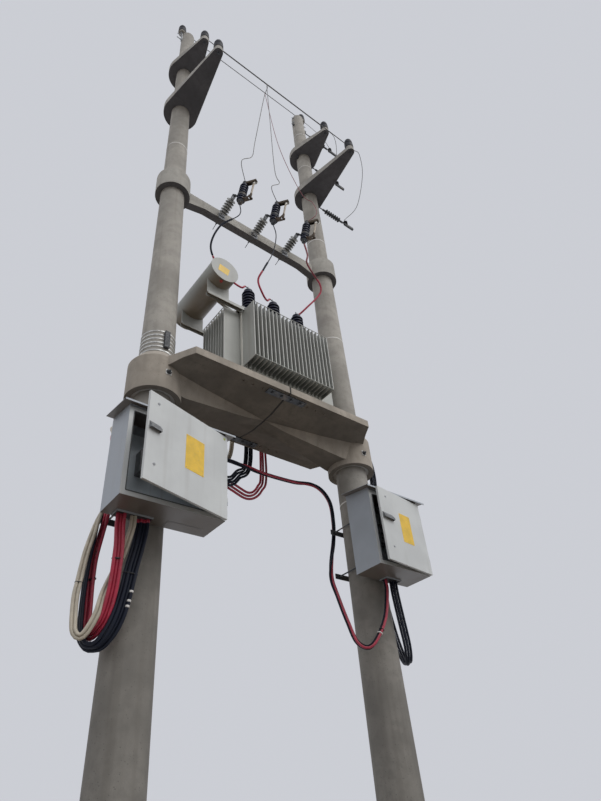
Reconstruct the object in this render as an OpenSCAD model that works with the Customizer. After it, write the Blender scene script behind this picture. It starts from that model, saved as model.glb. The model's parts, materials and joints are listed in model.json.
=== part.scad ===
// Two-pole aerial transformer substation: precast concrete poles, platform, crossarm and
// brackets, with a fin-walled transformer, three fused cut-outs and two sheet-steel cabinets.
// Millimetres. The origin is the centre of the left pole's foot; +X runs to the right pole,
// +Z up, and the cabinets and the bracket arms face -Y.

/* [Poles] */
// Height of the poles above the ground
pole_h = 12900; // [12600:50:13200]
// Diameter of a pole at the ground
pole_foot_d = 403.5; // [395:0.5:415]
// Diameter of a pole at its top
pole_top_d = 210; // [200:5:220]
// Spacing of the two poles
pole_gap = 2350; // [2300:10:2450]
// Clearance between a pole and the castings slid onto it
seat_gap = 0.3; // [0.2:0.1:1]

/* [Platform] */
// Height of the platform's upper face
deck_z = 5455; // [5400:5:5500]
// Thickness of the deck along its edge
deck_t = 78; // [60:2:100]
// Depth of the deck from front to back
deck_depth = 980; // [920:10:1040]
// Distance from the pole axis to the front corner of the deck
deck_corner_x = 140; // [100:5:180]
// Outer radius of the socket ring
ring_r = 245; // [235:1:260]
// Height of the socket ring's top
ring_top_z = 5550; // [5530:5:5600]
// Height of the socket ring
ring_h = 460; // [420:5:480]
// Height of the slanted shoulder on the socket ring
ring_shoulder = 100; // [60:5:110]
// Height of the ring's seat on the pole, above its wider bore
ring_seat = 120; // [80:10:160]
// Clearance between a pole and the ring's lower bore
ring_slack = 30; // [20:2:40]
// Half width of the keel under the deck at the pole axis
haunch_root = 235; // [220:5:245]
// Half width of the keel where the halves meet
haunch_tip = 60; // [50:5:90]
// Draft angle of the keel's sides
haunch_draft = 14; // [8:1:20]
// Depth of the deck's belly where the halves meet
haunch_seam = 47; // [30:1:60]
// Depth of the haunch under the deck at the socket ring
haunch_ring = 227; // [200:1:240]
// Distance of the haunch's kink from the seam
haunch_kink = 225; // [180:5:300]
// Gap between the two platform halves
seam_gap = 4; // [2:1:8]
// Side of the through-holes along the deck
deck_hole = 18; // [12:1:24]
// Pitch of the through-holes along the deck
deck_hole_pitch = 107; // [90:1:120]
// Length of a splice plate
splice_l = 446; // [400:10:500]
// Width of a splice plate
splice_w = 75; // [60:5:90]
// Thickness of a splice plate
splice_t = 10; // [6:1:14]

/* [Crossarm] */
// Height of the crossarm's upper face
arm_z = 8445; // [8400:5:8500]
// Depth of the crossarm
arm_h = 150; // [120:5:170]
// Width of the crossarm
arm_w = 95; // [85:5:110]
// Outer radius of the crossarm's collars
collar_r = 205; // [195:1:215]
// Height of the crossarm's collars
collar_h = 300; // [260:10:320]
// Distance from the pole axis to the haunch's end
arm_haunch_x = 420; // [380:10:480]

/* [Brackets] */
// Distance of the lower bracket's underside below the pole top
lower_bracket_drop = 2620; // [2550:10:2700]
// Distance of the upper bracket's underside below the pole top
upper_bracket_drop = 1420; // [1350:10:1500]
// Reach of the lower bracket from the pole axis
lower_reach = 1000; // [900:10:1100]
// Reach of the upper bracket from the pole axis
upper_reach = 600; // [550:10:700]
// Outer radius of a bracket's ring
bracket_ring_r = 235; // [225:1:245]
// Radius of a bracket's tip
bracket_tip_r = 62; // [55:1:70]
// Thickness of a bracket at its ring
bracket_root_t = 120; // [100:5:140]
// Thickness of a bracket at its tip
bracket_tip_t = 75; // [60:5:90]

/* [Pin insulators] */
// Height of a pin insulator
pin_ins_h = 280; // [250:5:300]
// Diameter of a pin insulator
pin_ins_d = 130; // [120:2:150]
// Height of the collar under a pin insulator
pin_collar_h = 32; // [24:2:44]
// Height of the ridge insulators' foot above the pole top
ridge_rise = 50; // [30:5:80]

/* [Cut-outs] */
// Distance between neighbouring cut-outs
cutout_pitch = 500; // [460:10:520]
// Offset of the middle cut-out from the middle of the crossarm
cutout_offset = -15; // [-60:5:20]
// Length of an extender insulator
extender_l = 300; // [280:5:320]
// Diameter of an extender insulator's sheds
extender_d = 118; // [100:2:130]
// Rise angle of an extender insulator
extender_rise = 16; // [10:1:22]
// Length of a cut-out's insulating body
cutout_l = 400; // [380:5:420]
// Diameter of a cut-out body's sheds
cutout_d = 108; // [96:2:120]
// Forward lean of a cut-out's body
cutout_lean = 12; // [8:1:16]
// Turn of a cut-out's contacts toward the right pole
cutout_turn = 30; // [20:5:40]
// Distance from the body's axis to the fuse tube
fuse_reach = 130; // [120:2:145]
// Diameter of the fuse tube
fuse_d = 24; // [20:1:28]

/* [Transformer] */
// Length of the tank along the deck
tank_l = 1020; // [980:10:1060]
// Width of the tank
tank_w = 500; // [480:10:540]
// Offset of the tank from the seam toward the right pole
tank_offset = 135; // [100:5:150]
// Height of the tank's wall
tank_h = 1005; // [980:5:1030]
// Depth of the cooling fins
fin_depth = 200; // [180:5:210]
// Pitch of the cooling fins
fin_pitch = 50; // [45:1:55]
// Thickness of one cooling fin
fin_t = 10; // [6:1:14]
// Height of the fins' lower edge over the tank's floor
fin_low = 195; // [170:5:210]
// Height of the fins
fin_h = 770; // [740:10:790]
// Number of fins on the front and on the back
fins_long = 21; // [19:1:21]
// Number of fins on each end
fins_short = 9; // [7:1:9]
// Thickness of the tank's cover
cover_t = 12; // [8:1:16]
// Overhang of the cover round the tank
cover_lip = 30; // [20:2:40]
// Height of the base rails
rail_h = 80; // [60:5:100]
// Diameter of the conservator
conservator_d = 320; // [290:10:330]
// Length of the conservator
conservator_l = 850; // [800:10:880]
// Distance from the tank's end wall to the conservator's axis
conservator_out = 310; // [290:5:330]
// Height of the conservator's axis over the cover
conservator_rise = 270; // [250:5:300]
// Height of a high-voltage bushing
hv_h = 540; // [500:10:560]
// Spacing of the high-voltage bushings
hv_pitch = 350; // [330:5:370]
// Distance of the high-voltage bushings in front of the tank's middle
hv_front = 150; // [130:5:165]
// Height of a low-voltage bushing
lv_h = 200; // [180:5:220]

/* [Cabinets] */
// Height of the cabinets' floor above the ground
cab_z = 3840; // [3780:10:3900]
// Height of a cabinet's front
cab_h = 750; // [720:5:780]
// Extra height of a cabinet's back
cab_slope = 50; // [30:5:70]
// Depth of a cabinet
cab_depth = 305; // [280:5:330]
// Width of the left cabinet
cab_left_w = 820; // [780:5:840]
// Width of the right cabinet
cab_right_w = 660; // [620:5:680]
// Sheet thickness of the cabinets
sheet_t = 3; // [2:0.5:4]
// Overhang of a cabinet's roof at the front and at the sides
roof_lip = 60; // [50:5:70]
// Distance from a pole's surface to the back of its cabinet
cab_standoff = 24; // [20:2:40]
// Opening of the left door in the rest pose
left_ajar = 16; // [0:1:30]
// Opening of the right door in the rest pose
right_ajar = 7; // [0:1:20]
// Depth of the doors' folded edges
door_fold = 20; // [15:1:30]
// Width of the left door's lock hood
left_lock_w = 98; // [80:2:150]
// Width of the right door's lock hood
right_lock_w = 148; // [80:2:160]
// Height of the lock hoods
lock_h = 60; // [40:5:80]
// Height of the gland frames under the cabinets' floors
gland_h = 14; // [8:1:24]

/* [Fittings] */
// Width of a steel band round a pole
band_w = 16; // [12:1:20]
// Thickness of a steel band
band_t = 3; // [2:0.5:4]
// Length of a strain insulator string
strain_l = 800; // [760:10:860]

/* [Hidden] */

// Facets of round faces
round_fn = 48;
small_fn = 24;
pole_fn = 64;

pole_x = [0, pole_gap];
mid_x = pole_gap / 2;
lower_bracket_z = pole_h - lower_bracket_drop;
upper_bracket_z = pole_h - upper_bracket_drop;
ridge_out = 112;
ridge_x = [-ridge_out, pole_gap + ridge_out];
function pole_r(z) = (pole_foot_d + (pole_top_d - pole_foot_d) * z / pole_h) / 2;

ring_rim = 15;
haunch_dip = 60;
belly_out = 375;
belly_in = 150;
deck_hole_mid = 379;
deck_hole_y = 405;
splice_y = 417;
deck_front = deck_depth / 2;
deck_under = deck_z - deck_t;
ring_under = ring_top_z - ring_h;
haunch_under = deck_under - haunch_seam;
arm_under = arm_z - arm_h;
collar_under = arm_z + 90 - collar_h;

cut_x = [for (i = [-1 : 1]) mid_x + cutout_offset + i * cutout_pitch];
extender_base = [0, -arm_w / 2, arm_under + 45];
extender_way = [0, -cos(extender_rise), sin(extender_rise)];
extender_end = extender_base + extender_l * extender_way;
cutout_arm = 120;
cutout_drop = 12;
cutout_mid = extender_end + [cutout_arm * sin(cutout_turn), -cutout_arm * cos(cutout_turn), -cutout_drop];
function turned(v) = [cos(cutout_turn) * v[0] - sin(cutout_turn) * v[1],
    sin(cutout_turn) * v[0] + cos(cutout_turn) * v[1], v[2]];
function leaned(v) = [v[0], cos(cutout_lean) * v[1] - sin(cutout_lean) * v[2],
    sin(cutout_lean) * v[1] + cos(cutout_lean) * v[2]];
function cut_point(i, v) = [cut_x[i], 0, 0] + cutout_mid + turned(leaned(v));
lower_contact = 130;
upper_contact = 175;
pivot_r = 5;
pivot_gap = 0.1;
contact_gap = 0.5;

tank_x = mid_x + tank_offset;
tank_z = deck_z + rail_h;
cover_z = tank_z + tank_h;
fin_z = tank_z + fin_low;
cons_x = tank_x - tank_l / 2 - conservator_out;
cons_z = cover_z + cover_t + conservator_rise;
support_y = 265;
lv_back = 150;
stud_r = 10;

cab_back = -(pole_r(cab_z) + cab_standoff);
cab_front = cab_back - cab_depth;
cab_left_x = 20;
cab_right_x = pole_gap;
hinge_out = 5;
knuckle_r = 5;
knuckle_h = 30;
hinge_pin_r = 2.5;
hinge_gap = 0.15;
hinge_rows = [120, 560];
roof_rise = cab_slope / cab_depth;
lip_drop = 12;
lip_z = cab_z + cab_h - roof_rise * roof_lip - lip_drop;
door_gap = 8;
door_t = 2;
lock_out = 26;
lock_edge = 14;
lock_z = 400;
gland_t = 3;
gland_depth = 85;
gland_front = 300;
gland_left = [-310, 270];
gland_right = [pole_gap - 55, 190];
hinge_y = cab_front - door_gap - door_fold / 2;

// Tube swept along a list of points, with flat ends; each ring's frame is carried from the last
cord_sides = 8;
function unit(v) = v / norm(v);
function tangent(p, i) = unit(p[min(i + 1, len(p) - 1)] - p[max(i - 1, 0)]);
function carried(p, i) = let (t = tangent(p, i))
    i == 0 ? unit(cross(t, abs(t[2]) > 0.9 ? [0, 1, 0] : [0, 0, 1]))
    : let (u = carried(p, i - 1)) unit(u - (u * t) * t);
module cord(points, d) {
    n = len(points);
    rings = [for (i = [0 : n - 1]) let (t = tangent(points, i), u = carried(points, i), v = cross(t, u))
        for (k = [0 : cord_sides - 1]) let (a = 360 * k / cord_sides)
            points[i] + d / 2 * (cos(a) * u + sin(a) * v)];
    walls = [for (i = [0 : n - 2]) for (k = [0 : cord_sides - 1])
        let (j = (k + 1) % cord_sides, a = i * cord_sides, b = a + cord_sides)
            each [[a + j, a + k, b + k], [a + j, b + k, b + j]]];
    foot = [for (k = [0 : cord_sides - 1]) k];
    head = [for (k = [cord_sides - 1 : -1 : 0]) (n - 1) * cord_sides + k];
    polyhedron(rings, concat(walls, [foot, head]));
}

// Bar with square ends from one point to another
module rod(a, b, d, fn = small_fn) {
    v = b - a;
    translate(a) rotate([0, acos(v[2] / norm(v)), atan2(v[1], v[0])])
        cylinder(h = norm(v), d = d, $fn = fn);
}

// Tapered, hollow-cast round pole, closed above the ground
module pole(i) {
    color("silver") translate([pole_x[i], 0, 0])
        cylinder(h = pole_h, d1 = pole_foot_d, d2 = pole_top_d, $fn = pole_fn);
}

// Conical room for a pole between two heights
module pole_room(z0, z1) {
    translate([0, 0, z0]) cylinder(h = z1 - z0, r1 = pole_r(z0) + seat_gap,
        r2 = pole_r(z1) + seat_gap, $fn = pole_fn);
}

// Half of the platform: deck with a slanted belly, tapered keel, and the ring round the left pole
module keel(reach) {
    taper = atan((haunch_root - haunch_tip) / reach);
    difference() {
        rotate([90, 0, 0]) translate([0, 0, -deck_front]) linear_extrude(deck_depth)
            polygon([[0, deck_under - haunch_ring], [ring_r, deck_under - haunch_ring],
                [reach - haunch_kink, haunch_under - haunch_dip], [reach, haunch_under],
                [reach, deck_under + deck_t / 2], [0, deck_under + deck_t / 2]]);
        for (s = [0, 1]) mirror([0, s, 0]) translate([0, -haunch_root, deck_under])
            rotate([0, 0, taper]) rotate([haunch_draft, 0, 0])
            translate([-reach, -deck_depth, -deck_depth])
            cube([3 * reach, deck_depth, 2 * deck_depth]);
    }
}
module deck_half(reach) {
    intersection() {
        translate([0, 0, haunch_under - 1]) linear_extrude(deck_t + haunch_seam + 2)
            polygon([[0, -ring_r], [deck_corner_x, -deck_front], [reach, -deck_front],
                [reach, deck_front], [deck_corner_x, deck_front], [0, ring_r]]);
        rotate([90, 0, 90]) linear_extrude(reach)
            polygon([[-deck_front, deck_z], [-deck_front, deck_under], [-belly_out, deck_under],
                [-belly_in, haunch_under], [belly_in, haunch_under], [belly_out, deck_under],
                [deck_front, deck_under], [deck_front, deck_z]]);
    }
}
module platform_half() {
    reach = mid_x - seam_gap / 2;
    seat_z = ring_top_z - ring_seat;
    difference() {
        union() {
            deck_half(reach);
            keel(reach);
            translate([0, 0, ring_under])
                cylinder(h = ring_h - ring_shoulder, r = ring_r, $fn = pole_fn);
            translate([0, 0, ring_top_z - ring_shoulder]) cylinder(h = ring_shoulder,
                r1 = ring_r, r2 = pole_r(ring_top_z) + ring_rim, $fn = pole_fn);
        }
        pole_room(seat_z - 1, ring_top_z + 1);
        translate([0, 0, ring_under - 1]) cylinder(h = seat_z - ring_under + 1,
            r = pole_r(ring_under) + ring_slack, $fn = pole_fn);
        for (k = [-1 : 1], s = [-1, 1])
            translate([mid_x - deck_hole_mid + k * deck_hole_pitch, s * deck_hole_y,
                deck_under + deck_t / 2])
                cube([deck_hole, deck_hole, deck_t + 20], center = true);
    }
}
module platform_left() {
    color("tan") platform_half();
}
module platform_right() {
    color("tan") translate([pole_gap, 0, 0]) rotate([0, 0, 180]) platform_half();
}

// Steel plates that bolt the two halves together, front and back
module splice_plates() {
    color("dimgray") for (s = [-1, 1])
        translate([mid_x - splice_l / 2, s * splice_y - splice_w / 2, deck_under - splice_t]) {
            cube([splice_l, splice_w, splice_t]);
            for (k = [0 : 3])
                translate([splice_l * (k + 0.5) / 4, splice_w / 2, -14])
                    cylinder(h = 14, d = 30, $fn = 6);
        }
}

// Crossarm with its two collars
module crossarm() {
    color("darkgray") difference() {
        union() {
            for (x = pole_x) translate([x, 0, collar_under])
                cylinder(h = collar_h, r = collar_r, $fn = pole_fn);
            rotate([90, 0, 0]) translate([0, 0, -arm_w / 2]) linear_extrude(arm_w)
                polygon([[0, collar_under], [collar_r, collar_under],
                    [arm_haunch_x, arm_under], [pole_gap - arm_haunch_x, arm_under],
                    [pole_gap - collar_r, collar_under], [pole_gap, collar_under],
                    [pole_gap, arm_z], [0, arm_z]]);
        }
        for (x = pole_x) translate([x, 0, 0])
            pole_room(collar_under - 1, collar_under + collar_h + 1);
    }
}

// Tapered bracket: a ring round the pole and an arm that narrows to a round tip
module bracket(z, reach) {
    a = acos((bracket_ring_r - bracket_tip_r) / reach);
    side_ring = bracket_ring_r * [sin(a), -cos(a)];
    side_tip = bracket_tip_r * [sin(a), -cos(a)] + [0, -reach];
    difference() {
        intersection() {
            translate([0, 0, z]) linear_extrude(bracket_root_t) union() {
                circle(r = bracket_ring_r, $fn = pole_fn);
                translate([0, -reach]) circle(r = bracket_tip_r, $fn = round_fn);
                polygon([side_ring, side_tip, [-side_tip[0], side_tip[1]],
                    [-side_ring[0], side_ring[1]]]);
            }
            rotate([90, 0, 90]) translate([0, 0, -bracket_ring_r - 1])
                linear_extrude(2 * bracket_ring_r + 2)
                polygon([[-reach - bracket_tip_r - 1, z],
                    [bracket_ring_r + 1, z], [bracket_ring_r + 1, z + bracket_root_t],
                    [-bracket_ring_r, z + bracket_root_t],
                    [-reach + bracket_tip_r, z + bracket_tip_t],
                    [-reach - bracket_tip_r - 1, z + bracket_tip_t]]);
        }
        pole_room(z - 1, z + bracket_root_t + 1);
    }
}
module bracket_left_lower() {
    color("gray") bracket(lower_bracket_z, lower_reach);
}
module bracket_left_upper() {
    color("gray") bracket(upper_bracket_z, upper_reach);
}
module bracket_right_lower() {
    color("gray") translate([pole_gap, 0, 0]) bracket(lower_bracket_z, lower_reach);
}
module bracket_right_upper() {
    color("gray") translate([pole_gap, 0, 0]) bracket(upper_bracket_z, upper_reach);
}

// Outline of a dome: a quarter of an ellipse from its rim up to the axis
function dome(r, z, rise) = [for (a = [0 : 15 : 90]) [r * cos(a), z + rise * sin(a)]];

// Outlines of sheds in a row, each flat below and rounded above
function shed(z, core, r, h) = [[core, z], [r, z],
    for (a = [0 : 30 : 90]) [core + (r - core) * cos(a), z + h * (0.25 + 0.75 * sin(a))]];
function sheds(z, count, pitch, core, r, h) =
    [for (k = [0 : count - 1]) each shed(z + k * pitch, core, r, h)];

// Pin insulator with its collar, standing on its foot: straight skirt, shallow neck, domed head
module pin_insulator() {
    r = pin_ins_d / 2;
    skirt_top = pin_ins_h * 0.44;
    neck = r * 0.88;
    rotate_extrude($fn = round_fn) polygon(concat([[0, 0], [r * 0.86, 0], [r * 0.86, pin_collar_h],
        [r * 0.94, pin_collar_h], [r, pin_collar_h + 12], [r, skirt_top], [neck, skirt_top + 10],
        [neck, skirt_top + 18], [r * 0.97, skirt_top + 30]],
        dome(r * 0.95, pin_ins_h * 0.62, pin_ins_h * 0.38)));
}
module pin_insulators_at(i) {
    translate([pole_x[i], -lower_reach, lower_bracket_z + bracket_tip_t + seat_gap])
        pin_insulator();
    translate([pole_x[i], -upper_reach, upper_bracket_z + bracket_tip_t + seat_gap])
        pin_insulator();
    translate([ridge_x[i], 0, pole_h + ridge_rise]) pin_insulator();
}
module pin_insulators_left() {
    color("darkslategray") pin_insulators_at(0);
}
module pin_insulators_right() {
    color("darkslategray") pin_insulators_at(1);
}

// Straps that carry the ridge insulators, each with two through-bolts
module ridge_pins() {
    strap_t = 8;
    strap_w = 44;
    strap_l = 240;
    lug = 30;
    bolt_drop = 50;
    bolt_rise = 40;
    foot = pole_h - strap_l;
    top = pole_h + ridge_rise;
    color("slategray") for (side = [-1, 1])
        translate([side < 0 ? 0 : pole_gap, 0, 0]) mirror([side < 0 ? 1 : 0, 0, 0]) {
            seat = pole_r(foot) + seat_gap;
            rotate([90, 0, 0]) translate([0, 0, -strap_w / 2]) linear_extrude(strap_w)
                polygon([[seat, foot], [seat + strap_t, foot], [ridge_out + strap_t, top - strap_t],
                    [ridge_out + lug, top - strap_t], [ridge_out + lug, top], [ridge_out - lug, top],
                    [ridge_out - lug, top - strap_t], [ridge_out, top - strap_t],
                    [seat - 1, pole_h + 10]]);
            for (z = [pole_h - bolt_drop, foot + bolt_rise])
                translate([pole_r(z) + seat_gap, 0, z]) rotate([0, 90, 0])
                    cylinder(h = 38, d = 16, $fn = small_fn);
        }
}

// Strain insulator string along +X, from its eye to its clamp
strain_drop = 32;
strain_top_drop = 300;
strain_z = [lower_bracket_z - strain_drop, upper_bracket_z - strain_drop, pole_h - strain_top_drop];
strain_sheds = 7;
riser_x = 640;
riser_h = 60;
clamp_l = 190;
clamp_w = 30;
clamp_h = 50;
function riser_top(k) = [pole_gap + pole_r(strain_z[k]) + seat_gap + 30 + riser_x, 0,
    strain_z[k] + clamp_h / 2 + riser_h + seat_gap];
strain_first = 200;
strain_pitch = 45;
strain_core_r = 13;
strain_shed_r = 42;
strain_end_r = 17;
module strain_string() {
    tip = strain_first + strain_sheds * strain_pitch;
    rotate([90, 0, 0]) cylinder(h = 60, d = 50, center = true, $fn = small_fn);
    rod([0, 0, 0], [strain_l, 0, 0], 18);
    rotate([0, 90, 0]) rotate_extrude($fn = small_fn) polygon(concat(
        [[0, strain_first - 70], [strain_end_r, strain_first - 70], [strain_end_r, strain_first - 15]],
        sheds(strain_first, strain_sheds, strain_pitch, strain_core_r, strain_shed_r, 16),
        [[strain_end_r, tip], [strain_end_r, tip + 50], [0, tip + 50]]));
    translate([strain_l - clamp_l, -clamp_w / 2, -clamp_h / 2]) cube([clamp_l, clamp_w, clamp_h]);
    translate([riser_x, 0, clamp_h / 2]) cylinder(h = riser_h, d = 16, $fn = small_fn);
}
module strain_insulators() {
    color("darkslategray") for (z = strain_z)
        translate([pole_gap + pole_r(z) + 0.3 + 30, 0, z]) {
            strain_string();
            rod([-30, 0, 0], [1, 0, 0], 20);
        }
}

// Ribbed extender insulator from the crossarm to its cut-out, with a fitting at each end
extender_sheds = 6;
extender_foot = 48;
extender_foot_r = 34;
extender_core_r = 23;
extender_cap = 36;
extender_cap_r = 26;
module extender_rod() {
    foot_start = 12;
    pitch = (extender_l - extender_foot - extender_cap) / extender_sheds;
    rotate_extrude($fn = round_fn) polygon(concat(
        [[0, foot_start], [extender_foot_r, foot_start], [extender_foot_r, extender_foot - 8]],
        sheds(extender_foot, extender_sheds, pitch, extender_core_r, extender_d / 2, 20),
        [[extender_core_r, extender_l - extender_cap], [extender_cap_r, extender_l - extender_cap],
            [extender_cap_r, extender_l], [0, extender_l]]));
}
module extender(i) {
    plate = 90;
    plate_t = 14;
    plate_drop = 50;
    color("gray") translate([cut_x[i], 0, 0] + extender_base) {
        translate([-plate / 2, -seat_gap - plate_t, -plate_drop]) cube([plate, plate_t, plate]);
        rotate([90 - extender_rise, 0, 0]) extender_rod();
    }
}

// Frame of a cut-out: origin at its body's middle, contacts along -Y
module cutout_frame(i) {
    translate([cut_x[i], 0, 0] + cutout_mid) rotate([0, 0, cutout_turn])
        rotate([cutout_lean, 0, 0]) children();
}

// Insulating body: metal caps, a barrel of close sheds, the hooded upper contact and the ears of
// the lower trunnion
cutout_sheds = 7;
cap_r = 34;
cap_h = 26;
barrel_low = -145;
barrel_top = 150;
barrel_r = 42;
hood_w = 50;
hood_t = 4;
hood_top = 14;
hood_h = 34;
hood_nose = 34;
contact_w = 28;
ear_gap = 20;
ear_t = 8;
ear_r = 20;
arm_t = 14;
bracket_z = -60;
bracket_h = 36;
mount_t = 16;
mount_rod_d = 26;
module cutout_barrel() {
    end = cutout_l / 2;
    pitch = (barrel_top - barrel_low) / cutout_sheds;
    rotate_extrude($fn = round_fn) polygon(concat(
        [[0, -end], [cap_r - 6, -end], [cap_r - 6, -end + cap_h], [barrel_r, barrel_low - 12]],
        sheds(barrel_low, cutout_sheds, pitch, barrel_r, cutout_d / 2, pitch * 0.7),
        [[barrel_r, barrel_top], [cap_r, end - cap_h], [cap_r, end], [0, end]]));
}
module cutout_hood() {
    reach = fuse_reach + hood_nose;
    translate([-hood_w / 2, -reach, upper_contact + hood_top - hood_h]) difference() {
        cube([hood_w, reach, hood_h]);
        translate([hood_t, -1, -1]) cube([hood_w - 2 * hood_t, reach - cap_r, hood_h - hood_t + 1]);
    }
    translate([-contact_w / 2, -fuse_reach - contact_w / 2, upper_contact])
        cube([contact_w, fuse_reach, hood_top - hood_t]);
}
ear_foot = 22;
module cutout_ears() {
    base = lower_contact + ear_foot;
    for (s = [-1, 1]) translate([s * (ear_gap + ear_t / 2), -fuse_reach, 0]) {
        translate([0, 0, -lower_contact]) rotate([0, 90, 0])
            cylinder(h = ear_t, r = ear_r, center = true, $fn = round_fn);
        translate([-ear_t / 2, -ear_r, -base]) cube([ear_t, 3 * ear_r, ear_foot]);
    }
    translate([-ear_gap - ear_t, ear_r + 2 - fuse_reach, -base])
        cube([2 * (ear_gap + ear_t), fuse_reach - ear_r, arm_t]);
}
module cutout_body(i) {
    color("midnightblue") cutout_frame(i) difference() {
        union() {
            cutout_barrel();
            cutout_hood();
            cutout_ears();
            translate([0, 0, bracket_z - bracket_h / 2])
                cylinder(h = bracket_h, r = cutout_d / 2 + 3, $fn = round_fn);
        }
        translate([-ear_gap - 20, -fuse_reach, -lower_contact]) rotate([0, 90, 0])
            cylinder(h = 2 * ear_gap + 40, r = pivot_r + pivot_gap, $fn = small_fn);
    }
    color("slategray") translate([cut_x[i], 0, 0]) {
        mount = extender_end + (seat_gap + mount_t) * extender_way;
        rod(mount, cutout_mid + turned(leaned([0, barrel_r, bracket_z])), mount_rod_d);
        rod(extender_end + seat_gap * extender_way, mount, 2 * extender_cap_r);
    }
}

// Fuse tube that drops open about its lower trunnion: ferrules at both ends and a pull ring
ferrule_r = 15;
ferrule_h = 40;
tip_r = 10;
tip_h = 14;
pull_r = 16;
pull_wire = 7;
pull_z = upper_contact - 45;
boss_r = 16;
module fuse_tube(i) {
    top = upper_contact - contact_gap;
    pull_y = -ferrule_r - pull_r - 4;
    color("burlywood") cutout_frame(i) translate([0, -fuse_reach, 0]) {
        translate([0, 0, -lower_contact])
            cylinder(h = lower_contact + top - tip_h, d = fuse_d, $fn = small_fn);
        translate([0, 0, top - tip_h - ferrule_h]) cylinder(h = ferrule_h, r = ferrule_r, $fn = small_fn);
        translate([0, 0, top - tip_h]) cylinder(h = tip_h, r1 = ferrule_r, r2 = tip_r, $fn = small_fn);
        translate([0, 0, ear_r + 5 - lower_contact]) cylinder(h = ferrule_h, r = ferrule_r, $fn = small_fn);
        translate([-ear_gap - ear_t, 0, -lower_contact]) rotate([0, 90, 0])
            cylinder(h = 2 * (ear_gap + ear_t), r = pivot_r, $fn = small_fn);
        translate([0, 0, -lower_contact]) rotate([0, 90, 0])
            cylinder(h = 2 * ear_gap - 10, r = boss_r, center = true, $fn = small_fn);
        translate([0, 0, pull_z]) rotate([90, 0, 0])
            cylinder(h = ferrule_r + 5, d = pull_wire, $fn = small_fn);
        translate([0, pull_y, pull_z]) rotate([0, 90, 0])
            rotate_extrude($fn = small_fn) translate([pull_r, 0]) circle(d = pull_wire, $fn = 16);
    }
}

// Tank of the transformer
module tank() {
    color("darkseagreen") translate([tank_x - tank_l / 2, -tank_w / 2, tank_z])
        cube([tank_l, tank_w, tank_h]);
}
module tank_cover() {
    color("darkseagreen") translate([tank_x - tank_l / 2 - cover_lip,
        -tank_w / 2 - cover_lip, cover_z])
        cube([tank_l + 2 * cover_lip, tank_w + 2 * cover_lip, cover_t]);
}

// Row of cooling fins, with the rods that tie their tips
fin_rod_d = 8;
fin_rod_inset = 6;
module fin_row(count) {
    span = (count - 1) * fin_pitch;
    for (k = [0 : count - 1])
        translate([-span / 2 + k * fin_pitch - fin_t / 2, -fin_depth, 0])
            cube([fin_t, fin_depth, fin_h]);
    for (z = [fin_rod_inset, fin_h - fin_rod_inset])
        translate([-span / 2 - fin_t / 2, -fin_depth, z]) rotate([0, 90, 0])
            cylinder(h = span + fin_t, d = fin_rod_d, $fn = 16);
}
module fins_front() {
    color("darkseagreen") translate([tank_x, -tank_w / 2, fin_z]) fin_row(fins_long);
}
module fins_back() {
    color("darkseagreen") translate([tank_x, tank_w / 2, fin_z]) rotate([0, 0, 180])
        fin_row(fins_long);
}
module fins_left() {
    color("darkseagreen") translate([tank_x - tank_l / 2, 0, fin_z]) rotate([0, 0, -90])
        fin_row(fins_short);
}
module fins_right() {
    color("darkseagreen") translate([tank_x + tank_l / 2, 0, fin_z]) rotate([0, 0, 90])
        fin_row(fins_short);
}

// Two channel rails under the tank
module base_rails() {
    rail_w = 80;
    rail_lip = 20;
    rail_y = 170;
    color("darkseagreen") for (s = [-1, 1])
        translate([tank_x - tank_l / 2 - rail_lip, s * rail_y - rail_w / 2, deck_z])
            cube([tank_l + 2 * rail_lip, rail_w, rail_h]);
}

// Oil conservator: drum with a rim at each end, and the pipe that joins it to the cover
cons_shift = 25;
cons_rim = 6;
cons_rim_w = 12;
pipe_y = -100;
pipe_d = 40;
pipe_top = [cons_x + 70, pipe_y, cons_z - conservator_d / 2 + 30];
pipe_foot = [tank_x - tank_l / 2, pipe_y, cover_z + cover_t + 48];
riser_d = 48;
riser_top = pipe_foot[2] + 26;
flange_r = 30;
flange_h = 10;
module conservator() {
    color("darkseagreen") {
        translate([cons_x, cons_shift - conservator_l / 2, cons_z]) rotate([-90, 0, 0]) {
            cylinder(h = conservator_l, d = conservator_d, $fn = pole_fn);
            for (y = [0, conservator_l - cons_rim_w]) translate([0, 0, y])
                cylinder(h = cons_rim_w, d = conservator_d + 2 * cons_rim, $fn = pole_fn);
        }
        rod(pipe_top, pipe_foot, pipe_d);
        translate([pipe_foot[0], pipe_y, cover_z + cover_t + seat_gap]) {
            cylinder(h = riser_top - cover_z - cover_t, d = riser_d, $fn = small_fn);
            cylinder(h = flange_h, r = flange_r, $fn = small_fn);
        }
    }
}

// Two supports of the conservator: a channel out of the tank's wall and a saddle plate on it
support_wall = 5;
support_half = 130;
module conservator_supports() {
    arm_top = cover_z - 14;
    arm_l = tank_x - tank_l / 2 - cons_x + support_half;
    color("darkseagreen") for (s = [-1, 1]) difference() {
        union() {
            translate([cons_x - support_half, s * support_y - 25, arm_top - 40]) difference() {
                cube([arm_l, 50, 40]);
                translate([-1, support_wall, -1])
                    cube([arm_l + 2, 50 - 2 * support_wall, 41 - support_wall]);
            }
            translate([cons_x - support_half, s * support_y - 4, arm_top - support_wall])
                cube([2 * support_half, 8, cons_z - arm_top + support_wall]);
        }
        translate([cons_x, -conservator_l, cons_z]) rotate([-90, 0, 0])
            cylinder(h = 2 * conservator_l, d = conservator_d + 2 * seat_gap, $fn = pole_fn);
    }
}

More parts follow.
